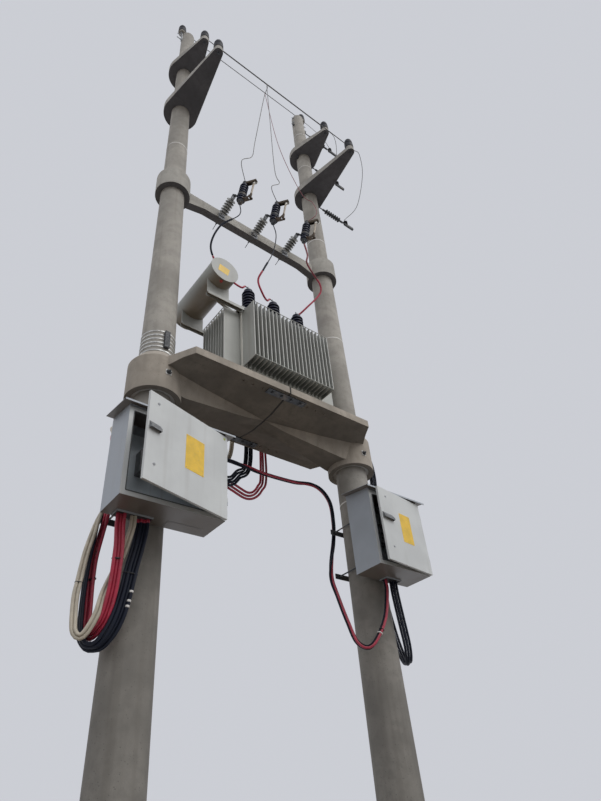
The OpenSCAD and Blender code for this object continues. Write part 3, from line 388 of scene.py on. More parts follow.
@dataclass(frozen=True)
class Paint(Finish):
    """Paint on sheet steel: soft orange peel, grime in streaks, painted shade on undersides."""

    grime: Colour = (0.25, 0.22, 0.18)
    dirt: float = 0.25
    coat: float = 0.15
    # Share of the colour left on downward faces: painted shade, with a warm ground bounce.
    shade_below: float = 1.0
    cloud = (3.0, 4.0, 0.35, 0.68)
    flow = (1.0, 5.0, 0.5, 0.78)
    flow_scale = (18.0, 18.0, 1.1)
    chip_scale = 30.0
    grain = (260.0, 2.0, 0.0003, 0.4)

    def build(self, tree: Tree) -> None:
        """Add peel, streaks and chips, and painted shade with a warm ground bounce on undersides.

        Args:
            tree: The material's tree.
        """
        cloud = tree.cloud(*self.cloud)
        colour = tree.mixed(cloud, self.tone(0.93), self.tone(1.05))
        flow = tree.cloud(*self.flow, tree.scaled(self.flow_scale))
        colour = tree.stained(colour, self.grime, flow, self.dirt)
        colour = tree.mixed(tree.span(tree.cells(self.chip_scale), 0.0, 0.05), self.tone(0.7), colour)
        # Painted shade on the undersides, tinted by a painted warm bounce from the ground.
        if self.shade_below < 1.0:
            below = tree.times(colour, tuple(self.shade_below * part for part in GROUND_BOUNCE))
            colour = tree.mixed(tree.not_down(), below, colour)
        tree.surface(Base_Color=self.shaded(tree, colour), Roughness=self.rough(tree, cloud, 0.14),
                     Coat_Weight=self.coat, Coat_Roughness=0.3, Normal=self.grained(tree))

    def shaded(self, tree: Tree, colour: Socket) -> Socket:
        """Return the colour as it is; the fin paint puts painted shade into it."""
        return colour


@dataclass(frozen=True)
class FinPaint(Paint):
    """Paint on the cooling fins, with painted shade that grows toward the tank's wall.

    The distance from the wall is the larger of |x - middle| - half length and |y| - half width.
    The outermost fins' outer faces, which lie beyond outer, are as free of painted shade as the fins'
    edges.
    """

    middle: float = 1.31
    half: tuple[float, float] = (0.51, 0.25)
    outer: tuple[float, float] = (0.5035, 0.2035)
    gap_shade: float = 0.45
    unshaded_from = (0.06, 0.19)

    def shaded(self, tree: Tree, colour: Socket) -> Socket:
        """Return the colour darkened between the fins by painted shade.

        Args:
            tree: The material's tree.
            colour: The paint's colour.

        Returns:
            The colour with its painted shade.
        """
        # Painted shade: the paint darkens between the fins, most at the tank's wall.
        gaps = (tree.apart("X", self.middle), tree.apart("Y"))
        walls = [tree.maths("SUBTRACT", gap, half) for gap, half in zip(gaps, self.half)]
        faces = [tree.maths("MULTIPLY", tree.maths("GREATER_THAN", walls[axis], 0.0),
                            tree.maths("GREATER_THAN", gaps[1 - axis], self.outer[1 - axis]))
                 for axis in (0, 1)]
        unshaded = tree.span(tree.maths("MAXIMUM", *walls), *self.unshaded_from)
        unshaded = tree.maths("MAXIMUM", unshaded, tree.maths("MAXIMUM", *faces))
        return tree.mixed(unshaded, tree.times(colour, (self.gap_shade,) * 3), colour)


@dataclass(frozen=True)
class Zinc(Finish):
    """Galvanised steel: crystal spangle, dull patches and a little rust."""

    spangle: float = 70.0
    rust = (0.22, 0.17, 0.13)
    weathered = (9.0, 4.0, 0.52, 0.75)
    grain = (120.0, 3.0, 0.0004, 0.5)

    def build(self, tree: Tree) -> None:
        """Add the spangle and the weathered patches.

        Args:
            tree: The material's tree.
        """
        crystal = tree.node("SeparateColor", {0: tree.cells(self.spangle, "Color")})
        colour = tree.mixed(crystal[0], self.tone(0.75), self.tone(1.15))
        colour = tree.stained(colour, self.rust, tree.cloud(*self.weathered), 0.5)
        tree.surface(Base_Color=colour, Metallic=0.75,
                     Roughness=self.rough(tree, crystal[1], 0.15, 0.1),
                     Normal=self.grained(tree))


@dataclass(frozen=True)
class Glaze(Finish):
    """Glazed porcelain or moulded polymer: a gloss under a film of dust that lies on top."""

    dust: Colour = (0.42, 0.39, 0.34)
    dusty: float = 0.4
    coat: float = 0.6
    gloss: float = 0.5
    cloud = (12.0, 4.0, 0.35, 0.7)
    film = (30.0, 5.0, 0.3, 0.7)
    grain = (45.0, 3.0, 0.0006, 0.3)

    def build(self, tree: Tree) -> None:
        """Add the dust film and the uneven gloss.

        Args:
            tree: The material's tree.
        """
        colour = tree.mixed(tree.cloud(*self.cloud), self.tone(0.8), self.tone(1.25))
        film = tree.maths("MULTIPLY", tree.facing_up(), tree.cloud(*self.film))
        tree.surface(Base_Color=tree.stained(colour, self.dust, film, self.dusty),
                     Roughness=self.rough(tree, film, 0.4), Coat_Weight=self.coat,
                     Coat_Roughness=0.12, Specular_IOR_Level=self.gloss,
                     Normal=self.grained(tree))


@dataclass(frozen=True)
class Jacket(Finish):
    """Extruded cable jacket: satin plastic, scuffed and dusty along its run."""

    dust: Colour = (0.4, 0.37, 0.32)
    dusty: float = 0.2
    gloss: float = 0.5
    cloud = (9.0, 4.0, 0.35, 0.7)
    scuffs = (60.0, 5.0, 0.55, 0.75)

    def build(self, tree: Tree) -> None:
        """Add scuffs, dust and the faint ripple of the laid cores.

        Args:
            tree: The material's tree.
        """
        colour = tree.mixed(tree.cloud(*self.cloud), self.tone(0.85), self.tone(1.12))
        scuff = tree.cloud(*self.scuffs)
        film = tree.maths("ADD", scuff, tree.facing_up())
        tree.surface(Base_Color=tree.stained(colour, self.dust, film, self.dusty),
                     Roughness=self.rough(tree, scuff, 0.2), Specular_IOR_Level=self.gloss,
                     Normal=self.grained(tree))


@dataclass(frozen=True)
class Strand(Finish):
    """Bare stranded conductor: the strands twist along the tube's own coordinates."""

    strands: float = 7.0
    turns: float = 60.0

    def build(self, tree: Tree) -> None:
        """Lay helical strands with the tube's UV: across in u, along in v.

        Args:
            tree: The material's tree.
        """
        run = tree.node("UVMap", {}, uv_map="run")["UV"]
        values = {"Vector": run, "Scale": (self.strands, self.turns, 1.0)}
        wave = {"Vector": tree.node("Mapping", values)["Vector"], "Scale": 0.5}
        ridge = tree.node("TexWave", wave, bands_direction="DIAGONAL")["Fac"]
        colour = tree.mixed(tree.span(ridge, 0.2, 0.9), self.tone(0.35), self.tone(1.1))
        tree.surface(Base_Color=colour, Metallic=0.7, Normal=tree.bump(ridge, 0.001, 0.8))


@dataclass(frozen=True)
class Sheet(Finish):
    """Plain enamelled plate or tape: nearly even, a little faded, with fine soil."""

    soil: Colour = (0.3, 0.26, 0.2)
    cloud = (14.0, 4.0, 0.3, 0.7)
    soiling = (70.0, 5.0, 0.58, 0.8)
    grain = (200.0, 2.0, 0.0002, 0.4)

    def build(self, tree: Tree) -> None:
        """Fade the colour in clouds and add fine soiling.

        Args:
            tree: The material's tree.
        """
        colour = tree.mixed(tree.cloud(*self.cloud), self.tone(0.9), self.tone(1.08))
        colour = tree.stained(colour, self.soil, tree.cloud(*self.soiling), 0.5)
        tree.surface(Base_Color=colour, Coat_Weight=0.1, Normal=self.grained(tree))


# Painted light: the warm bounce from sandy ground that tints the painted shade on paint's undersides.
GROUND_BOUNCE = (1.0, 0.79, 0.62)
POLE_CONCRETE = Concrete("pole_concrete", (0.38, 0.36, 0.325), 0.85, streak=0.36, foot=0.52)
# The underside colours below are painted shade.
PLATFORM_CONCRETE = Concrete("platform_concrete", (0.37, 0.33, 0.28), 0.88, streak=0.4,
                             underside=(0.55, 0.55, 0.55), seam=1.175)
BEAM_CONCRETE = Concrete("beam_concrete", (0.4, 0.385, 0.35), 0.85, streak=0.3,
                         underside=(0.37, 0.38, 0.44))
BRACKET_CONCRETE = Concrete("bracket_concrete", (0.39, 0.375, 0.345), 0.85, streak=0.3,
                            underside=(0.34, 0.36, 0.44))
GALVANISED = Zinc("galvanised", (0.36, 0.37, 0.38), 0.5)
BAND_ZINC = Zinc("band_zinc", (0.6, 0.6, 0.58), 0.5)
DARK_STEEL = Zinc("dark_steel", (0.075, 0.077, 0.08), 0.55)
DARK_PORCELAIN = Glaze("dark_porcelain", (0.026, 0.027, 0.034), 0.55, dusty=0.04, coat=0.0,
                       gloss=0.25)
GREY_POLYMER = Glaze("grey_polymer", (0.25, 0.26, 0.255), 0.45, dusty=0.25, coat=0.2)
STRING_POLYMER = Glaze("string_polymer", (0.05, 0.052, 0.056), 0.5, dusty=0.12, coat=0.0,
                       gloss=0.3)
BLUE_PORCELAIN = Glaze("blue_porcelain", (0.012, 0.015, 0.036), 0.4, dusty=0.0, coat=0.06,
                       gloss=0.3)
TANK_PAINT = Paint("tank_paint", (0.37, 0.38, 0.36), 0.42, shade_below=0.62)
FIN_PAINT = FinPaint("fin_paint", (0.4, 0.41, 0.385), 0.42)
# Painted light: the tank's walls take a lighter copy of the tank paint, to stand against the fins'
# shadows.
LIT_WALL_PAINT = Paint("lit_wall_paint", (0.42, 0.43, 0.4), 0.42)
ROD_PAINT = Paint("rod_paint", (0.62, 0.61, 0.55), 0.42)
PLATE_STEEL = Sheet("plate_steel", (0.6, 0.6, 0.58), 0.45)
HANDLE_METAL = Zinc("handle_metal", (0.2, 0.205, 0.21), 0.5)
CABINET_PAINT = Paint("cabinet_paint", (0.35, 0.385, 0.43), 0.4, dirt=0.18, shade_below=0.46)
DOOR_PAINT = Paint("door_paint", (0.56, 0.58, 0.58), 0.4, dirt=0.14)
PANEL_PAINT = Paint("panel_paint", (0.6, 0.66, 0.7), 0.45)
FUSE_FIBRE = Glaze("fuse_fibre", (0.46, 0.39, 0.3), 0.45, dusty=0.2, coat=0.3)
RED_JACKET = Jacket("red_jacket", (0.42, 0.02, 0.055), 0.38)
BEIGE_JACKET = Jacket("beige_jacket", (0.52, 0.47, 0.38), 0.45)
BLACK_JACKET = Jacket("black_jacket", (0.008, 0.011, 0.022), 0.45, dusty=0.02, gloss=0.2)
SHED_RIM = Glaze("shed_rim", (0.43, 0.435, 0.42), 0.5, coat=0.1)
CEMENT = Concrete("collar_cement", (0.5, 0.49, 0.46), 0.9, streak=0.2)
BRONZE = Zinc("cast_bronze", (0.1, 0.075, 0.055), 0.55)
HOOD_METAL = Zinc("hood_metal", (0.11, 0.085, 0.06), 0.55)
BRIGHT_METAL = Zinc("bright_metal", (0.62, 0.6, 0.55), 0.4)
BROWN_FIBRE = Glaze("brown_fibre", (0.2, 0.15, 0.11), 0.5, dusty=0.2, coat=0.2)
YELLOW_PLATE = Sheet("yellow_plate", (0.78, 0.5, 0.03), 0.42)
RED_PLUG = Sheet("red_plug", (0.42, 0.03, 0.02), 0.4)
GREEN_DOT = Sheet("green_dot", (0.3, 0.36, 0.04), 0.4)
WHITE_TAPE = Sheet("white_tape", (0.7, 0.69, 0.66), 0.5)
BLACK_RUBBER = Jacket("black_rubber", (0.018, 0.018, 0.02), 0.6, dusty=0.12)
GREY_RUBBER = Jacket("grey_rubber", (0.07, 0.075, 0.08), 0.6, dusty=0.12)
BREAKER_PLASTIC = Glaze("breaker_plastic", (0.17, 0.175, 0.18), 0.5, dusty=0.03, coat=0.1)
SWITCH_GRIP = Glaze("switch_grip", (0.016, 0.016, 0.018), 0.4, dusty=0.04, coat=0.1)
DULL_RED_JACKET = Jacket("dull_red_jacket", (0.2, 0.02, 0.03), 0.42, dusty=0.1)
BARE_CONDUCTOR = Strand("bare_conductor", (0.24, 0.23, 0.22), 0.45)
TIE_WIRE = Zinc("tie_wire", (0.07, 0.068, 0.065), 0.55)
# A finish with the record's material slot that it stands for
Look = tuple[Finish, str]
RED: Look = (RED_JACKET, "red_sheath")
FADED: Look = (DULL_RED_JACKET, "red_sheath")
BEIGE: Look = (BEIGE_JACKET, "beige_sheath")
BLACK: Look = (BLACK_JACKET, "black_sheath")
BARE: Look = (BARE_CONDUCTOR, "bare_conductor")
TIE: Look = (BLACK_RUBBER, "black_sheath")
TAPE: Look = (WHITE_TAPE, "beige_sheath")
ZINC: Look = (GALVANISED, "galvanised_steel")
STEEL: Look = (DARK_STEEL, "galvanised_steel")
PLATE: Look = (YELLOW_PLATE, "door_paint")


def unit(vectors: np.ndarray) -> np.ndarray:
    """Return vectors of length one along the last axis."""
    return vectors / np.maximum(np.linalg.norm(vectors, axis=-1, keepdims=True), 1e-12)


def tangents(path: np.ndarray) -> np.ndarray:
    """Return the direction of a path at each of its points."""
    return unit(np.gradient(path, axis=0))


def lengths(path: np.ndarray) -> np.ndarray:
    """Return the length of a path up to each of its points."""
    return np.concatenate([[0.0], np.cumsum(np.linalg.norm(np.diff(path, axis=0), axis=1))])


def round_outline(radius: float, count: int = 64) -> np.ndarray:
    """Return a circle's points, or a regular polygon's."""
    angle = 2 * np.pi * np.arange(count) / count
    return radius * np.stack([np.cos(angle), np.sin(angle)], axis=-1)


def plate_outline(width: float, depth: float, corner: float, steps: int = 5) -> np.ndarray:
    """Return a rectangle's points with its four corners rounded by quarter circles.

    Args:
        width: Size along the first axis.
        depth: Size along the second.
        corner: Radius of the corners.
        steps: Points of each quarter circle.

    Returns:
        The points, counterclockwise.
    """
    angle = np.linspace(0.0, np.pi / 2, steps)
    parts = []
    for quarter, (side, end) in enumerate(((1, 1), (-1, 1), (-1, -1), (1, -1))):
        turned = angle + quarter * np.pi / 2
        middle = np.array((side * (width / 2 - corner), end * (depth / 2 - corner)))
        parts.append(middle + corner * np.stack([np.cos(turned), np.sin(turned)], axis=-1))
    return np.vstack(parts)


@dataclass(frozen=True)
class Place:
    """A small frame: its origin and its three axes, one to a row."""

    origin: np.ndarray
    axes: np.ndarray

    @classmethod
    def along(cls, origin: Point, axis: Point, toward: Point = UP) -> "Place":
        """Return a frame whose third axis runs along axis and whose second leans toward a way.

        Args:
            origin: The frame's origin.
            axis: The way of its third axis.
            toward: The way that its second axis leans.

        Returns:
            The frame.
        """
        third = unit(np.array(axis, float))
        hint = np.array(toward, float)
        if abs(unit(hint) @ third) > 0.95:
            hint = np.array(FRONT if abs(third[1]) < 0.9 else (1.0, 0.0, 0.0))
        first = unit(np.cross(hint, third))
        return cls(np.array(origin, float), np.array([first, np.cross(third, first), third]))

    def world(self, points: np.ndarray) -> np.ndarray:
        """Return points of this frame in the shared frame."""
        return self.origin + points @ self.axes

    def local(self, points: np.ndarray) -> np.ndarray:
        """Return points of the shared frame in this frame."""
        return (points - self.origin) @ self.axes.T


class Shell:
    """Gathers numpy grids of points into one mesh piece. Each add call returns the shell."""

    sharp = 40.0

    def __init__(self) -> None:
        """Start with no points."""
        self.points: list[np.ndarray] = []
        self.loops: list[np.ndarray] = []
        self.sides: list[np.ndarray] = []
        self.marks: list[np.ndarray] = []
        self.count = 0

    def add_faces(self, points: np.ndarray, faces: np.ndarray, marks: np.ndarray) -> "Shell":
        """Add points of shape (n, 3) and faces of shape (m, k) that index them.

        Args:
            points: The new points.
            faces: Rows of point numbers, counted from the first new point.
            marks: One texture coordinate (u, v) of each point.

        Returns:
            The shell.
        """
        self.points.append(points)
        self.loops.append((faces + self.count).ravel())
        self.sides.append(np.full(len(faces), faces.shape[1]))
        self.marks.append(marks)
        self.count += len(points)
        return self

    def add_grid(self, grid: np.ndarray, ring: bool = False) -> "Shell":
        """Add a closed surface through a grid of shape (rows, columns, 3).

        Its faces look away from the axis where the columns run counterclockwise round the
        direction in which the rows advance. The last column joins the first. With ring the last
        row joins the first too, and without it a fan round a middle point closes each end.

        Args:
            grid: The points.
            ring: Whether the last row joins the first.

        Returns:
            The shell.
        """
        rows, columns = grid.shape[:2]
        left = np.arange(rows * columns).reshape(rows, columns)
        right = np.roll(left, -1, axis=1)
        quads = np.stack([left, right, np.roll(right, -1, axis=0), np.roll(left, -1, axis=0)],
                         axis=-1)[:rows if ring else rows - 1]
        u, v = np.meshgrid(np.arange(columns) / columns, lengths(grid.mean(axis=1)))
        self.add_faces(grid.reshape(-1, 3), quads.reshape(-1, 4),
                       np.stack([u, v], axis=-1).reshape(-1, 2))
        if not ring:
            first, centre = np.arange(columns), np.full(columns, columns)
            second = np.roll(first, -1)
            for end, pair in ((grid[0], (second, first)), (grid[-1], (first, second))):
                self.add_faces(np.vstack([end, end.mean(axis=0)]),
                               np.stack([*pair, centre], axis=-1), np.zeros((columns + 1, 2)))
        return self

    def add_stack(self, outline: np.ndarray, levels: Pairs, place: Place) -> "Shell":
        """Add a closed solid: one outline drawn at several heights, each pulled inward.

        Args:
            outline: Points of shape (n, 2), counterclockwise round the middle.
            levels: The height and the inward pull of each drawing, from the bottom up.
            place: The frame that the solid stands in.

        Returns:
            The shell.
        """
        reach = np.abs(outline).max(axis=0)
        rows = [np.column_stack([outline * (1.0 - pull / reach), np.full(len(outline), height)])
                for height, pull in levels]
        return self.add_grid(place.world(np.array(rows)))

    def add_plate(self, size: Point, levels: Pairs, place: Place) -> "Shell":
        """Add a plate of that width, depth and corner radius, drawn at several levels."""
        return self.add_stack(plate_outline(*size), levels, place)

    def add_frame(self, outer: np.ndarray, inner: np.ndarray, thick: float,
                  place: Place) -> "Shell":
        """Add a flat frame between two outlines of as many points, thick along the place's axis.

        Args:
            outer: Outer outline.
            inner: Inner outline.
            thick: Thickness.
            place: The frame that it lies in.

        Returns:
            The shell.
        """
        rows = [np.column_stack([outline, np.full(len(outline), height)])
                for outline, height in ((outer, 0.0), (outer, thick), (inner, thick), (inner, 0.0))]
        return self.add_grid(place.world(np.array(rows)), ring=True)

    def add_band(self, x: float, height: float, width: float, thick: float,
                 radius: float) -> "Shell":
        """Add a round band about a pole, such as a tape, from its middle height and inner radius."""
        return self.add_frame(round_outline(radius + thick), round_outline(radius), width,
                              Place.along((x, 0.0, height - width / 2), UP))

    def add_turned(self, profile: Pairs, count: int, place: Place) -> "Shell":
        """Add a solid of revolution: each (radius, height) of the profile goes round the axis.

        Args:
            profile: Radius and height of each ring.
            count: Points round a ring.
            place: The frame whose third axis it turns about.

        Returns:
            The shell.
        """
        rows = [np.column_stack([round_outline(radius, count), np.full(count, height)])
                for radius, height in profile]
        return self.add_grid(place.world(np.array(rows)))

    def piece(self, name: str, finish: Finish, slot: str,
              body: Body = Body.ROOT) -> bpy.types.Object:
        """Make the mesh object, finish it and let it ride on a body.

        Args:
            name: The piece's name.
            finish: Its finish.
            slot: The record's material slot that it stands for; not used.
            body: The CAD body it rides on.

        Returns:
            The new object.
        """
        mesh = bpy.data.meshes.new(name)
        loops = np.concatenate(self.loops).astype(np.int32)
        sides = np.concatenate(self.sides)
        mesh.vertices.add(self.count)
        mesh.vertices.foreach_set("co", np.concatenate(self.points).astype(np.float32).ravel())
        mesh.loops.add(len(loops))
        mesh.loops.foreach_set("vertex_index", loops)
        mesh.polygons.add(len(sides))
        starts = np.concatenate([[0], np.cumsum(sides)[:-1]])
        mesh.polygons.foreach_set("loop_start", starts.astype(np.int32))
        mesh.polygons.foreach_set("use_smooth", np.ones(len(sides), bool))
        marks = np.concatenate(self.marks)[loops]
        mesh.uv_layers.new(name="run").uv.foreach_set("vector", marks.astype(np.float32).ravel())
        mesh.update(calc_edges=True)
        mesh.validate()
        mesh.set_sharp_from_angle(angle=math.radians(self.sharp))
        mesh.materials.append(finish.material())
        made = bpy.data.objects.new(name, mesh)
        bpy.context.scene.collection.objects.link(made)
        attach(made, body.value)
        LOG.info("%s: %d points", name, self.count)
        return made


class Hardware(Shell):
    """Bolts, nuts, washers and studs, gathered in one mesh.

    The shares are of a nut's width across its flats, or of a stud's radius.
    """

    sharp = 30.0
    washer_thick = 0.003
    thread_pitch = 0.003
    nut_share = 0.53
    chamfer_share = 0.07
    washer_share = 0.95
    stud_share = 0.32
    root_share = 0.92
    tip_share = 0.7

    def disc(self, outline: np.ndarray, thick: float, soft: float, place: Place) -> None:
        """Add a flat disc with rims softened by that much."""
        self.add_stack(outline, ((0.0, soft), (soft, 0.0), (thick - soft, 0.0), (thick, soft)),
                       place)

    def washer(self, origin: Point, axis: Point, radius: float,
               thick: float = washer_thick) -> None:
        """Add a round washer."""
        self.disc(round_outline(radius, 24), thick, thick * 0.2, Place.along(origin, axis))

    def nut(self, origin: Point, axis: Point, across: float) -> None:
        """Add a hexagon nut of that width across its flats."""
        self.disc(round_outline(across / math.sqrt(3.0), 6), across * self.nut_share,
                  across * self.chamfer_share, Place.along(origin, axis))

    def stud(self, origin: Point, axis: Point, radius: float, length: float) -> None:
        """Add a threaded stud: its radius waves by a twelfth from crest to root.

        Args:
            origin: Its foot.
            axis: The way it points.
            radius: Radius of the crests.
            length: Its length.
        """
        count = max(9, int(length / self.thread_pitch))
        wave = radius * np.where(np.arange(count) % 2, self.root_share, 1.0)
        wave[-1] = radius * self.tip_share
        self.add_turned(tuple(zip(wave, np.linspace(0.0, length, count))), 16,
                        Place.along(origin, axis))

    def joint(self, origin: Point, axis: Point, across: float, tail: float) -> None:
        """Add a washer, a nut and the end of the stud that comes out of it.

        Args:
            origin: Middle of the washer's foot.
            axis: The way the stud points.
            across: The nut's width across its flats.
            tail: The stud's length.
        """
        self.washer(origin, axis, across * self.washer_share)
        self.nut(np.array(origin) + self.washer_thick * np.array(axis), axis, across)
        self.stud(origin, axis, across * self.stud_share, tail)


def smooth_route(points: Sequence[Point], step: float) -> np.ndarray:
    """Return points about step apart on the Catmull-Rom curve through a route's points.

    Args:
        points: The route's points, in metres.
        step: Distance between the new points.

    Returns:
        The curve's points.
    """
    given = np.array(points, float)
    padded = np.vstack([2 * given[0] - given[1], given, 2 * given[-1] - given[-2]])
    parts = []
    for before, start, end, after in zip(padded, padded[1:], padded[2:], padded[3:]):
        count = max(2, int(math.ceil(np.linalg.norm(end - start) / step)))
        t = (np.arange(count) / count)[:, None]
        parts.append(0.5 * (2 * start + (end - before) * t
                            + (2 * before - 5 * start + 4 * end - after) * t ** 2
                            + (3 * start - before - 3 * end + after) * t ** 3))
    return np.vstack([*parts, given[-1:]])


def softened(rows: np.ndarray) -> np.ndarray:
    """Return rows averaged over nine neighbours, so that they change without a jerk."""
    padded = np.pad(rows, ((4, 4), (0, 0)), mode="edge")
    return np.stack([np.convolve(column, np.ones(9) / 9.0, "valid") for column in padded.T], axis=1)


def tube_grid(path: np.ndarray, radius: float, sides: int) -> np.ndarray:
    """Return a tube's grid round a path, its frame carried along without twist.

    Each ring lies square to the path: centre + radius * (cos a * u + sin a * v), where u is
    carried from ring to ring and v = tangent x u.

    Args:
        path: The rings' middles.
        radius: The tube's radius.
        sides: Points round each ring.

    Returns:
        Points of shape (rings, sides, 3).
    """
    along = tangents(path)
    across = unit(np.cross(along[0], UP if abs(along[0][2]) < 0.9 else BACK))
    frames = []
    for direction in along:
        across = unit(across - across @ direction * direction)
        frames.append(across)
    u = np.array(frames)[:, None, :]
    v = np.cross(along, np.array(frames))[:, None, :]
    angle = (2 * np.pi * np.arange(sides) / sides)[None, :, None]
    return path[:, None, :] + radius * (np.cos(angle) * u + np.sin(angle) * v)


class Photographer:
    """Sets the camera, the floor, the backdrop's colour and the light."""

    sky: Colour = (0.60, 0.615, 0.66)
    below: Colour = (0.5, 0.5, 0.52)
    above: Colour = (1.25, 1.28, 1.34)
    pale: tuple[Colour, Colour] = ((0.52, 0.53, 0.55), (0.6, 0.61, 0.63))
    glow: Colour = (0.13, 0.108, 0.085)
    floor_half = 90.0
    sun_power = 1.1
    sun_spread = 50.0
    sun_turn: Point = (48.0, 0.0, 20.0)
    sun_colour: Colour = (1.0, 0.98, 0.95)

    def link(self, name: str, data) -> bpy.types.Object:
        """Put a new object of that data into the scene.

        Args:
            name: The object's name.
            data: Its mesh, camera or lamp.

        Returns:
            The object.
        """
        made = bpy.data.objects.new(name, data)
        bpy.context.scene.collection.objects.link(made)
        return made

    def camera(self) -> None:
        """Place the camera where the photograph was taken from."""
        sin_yaw, cos_yaw = math.sin(CAMERA_YAW), math.cos(CAMERA_YAW)
        cos_pitch = math.cos(CAMERA_PITCH)
        forward = np.array((sin_yaw * cos_pitch, cos_yaw * cos_pitch, math.sin(CAMERA_PITCH)))
        level = np.array((cos_yaw, -sin_yaw, 0.0))
        upward = np.cross(level, forward)
        data = bpy.data.cameras.new("camera")
        data.sensor_width = SENSOR_WIDTH
        data.lens = FOCAL_PIXELS / IMAGE_HEIGHT * SENSOR_WIDTH
        data.clip_end = 200.0
        matrix = np.eye(4)
        matrix[:3, 0] = level * math.cos(CAMERA_ROLL) + upward * math.sin(CAMERA_ROLL)
        matrix[:3, 1] = upward * math.cos(CAMERA_ROLL) - level * math.sin(CAMERA_ROLL)
        matrix[:3, 2] = -forward
        matrix[:3, 3] = CAMERA_PLACE
        holder = self.link("camera", data)
        holder.matrix_world = Matrix(matrix.tolist())
        bpy.context.scene.camera = holder

    def world(self) -> None:
        """Light from a pale overcast sky: bright above, dim below."""
        world = bpy.data.worlds.new("overcast")
        bpy.context.scene.world = world
        world.use_nodes = True
        tree = Tree(world.node_tree, "Background", "Generated")
        ramp = tree.nodes.new("ShaderNodeValToRGB")
        tree.fill(ramp, {"Fac": tree.part(tree.place, "Z")})
        for end, colour in enumerate((self.below, self.above)):
            ramp.color_ramp.elements[end].position = float(end)
            ramp.color_ramp.elements[end].color = (*colour, 1.0)
        tree.surface(Color=tree.mixed(tree.seen(), ramp.outputs["Color"], self.sky))

    def floor(self) -> None:
        """Lay a plain pale floor that throws little light upward."""
        corners = self.floor_half * np.array([(-1, -1, 0), (1, -1, 0), (1, 1, 0), (-1, 1, 0)])
        mesh = bpy.data.meshes.new("floor")
        mesh.from_pydata(corners, [], [(0, 1, 2, 3)])
        material, tree = Tree.of_material("floor")
        grain = tree.mixed(tree.noise(3.0, 4.0), *self.pale)
        tree.surface(Base_Color=tree.mixed(tree.seen(), self.glow, grain), Roughness=0.9)
        mesh.materials.append(material)
        self.link("floor", mesh)

    def lamp(self) -> None:
        """Add one broad soft lamp, high on the right in front of the object."""
        data = bpy.data.lights.new("soft_sun", "SUN")
        data.energy = self.sun_power
        data.angle = math.radians(self.sun_spread)
        data.color = self.sun_colour
        turn = tuple(math.radians(angle) for angle in self.sun_turn)
        self.link("soft_sun", data).rotation_euler = turn

    def set_up(self) -> None:
        """Set everything that isn't part of the object."""
        bpy.context.scene.view_settings.view_transform = "Standard"
        self.camera()
        self.world()
        self.floor()
        self.lamp()


@dataclass(frozen=True)
class Cable:
    """One cable of a bundle: its finish, its size and its place in the bundle.

    across and toward are the offsets from the bundle's middle in metres, across the view and
    toward the viewer.
    """

    name: str
    finish: Finish
    slot: str
    diameter: float
    across: float = 0.0
    toward: float = 0.0


@dataclass(frozen=True)
class Lay:
    """How a bundle lies at one place of its run, in metres and degrees."""

    run: float
    turn: float = 0.0
    spread: float = 1.0
    across: float = 0.0
    toward: float = 0.0


@dataclass(frozen=True)
class Sleeve:
    """A sleeve, tie or tape round one cable of a bundle, or round all of them.

    Its section is an ellipse with the half sizes half; member is the cable's number, or None.
    """

    name: str
    finish: Finish
    slot: str
    start: float
    length: float
    half: tuple[float, float]
    member: Optional[int] = None


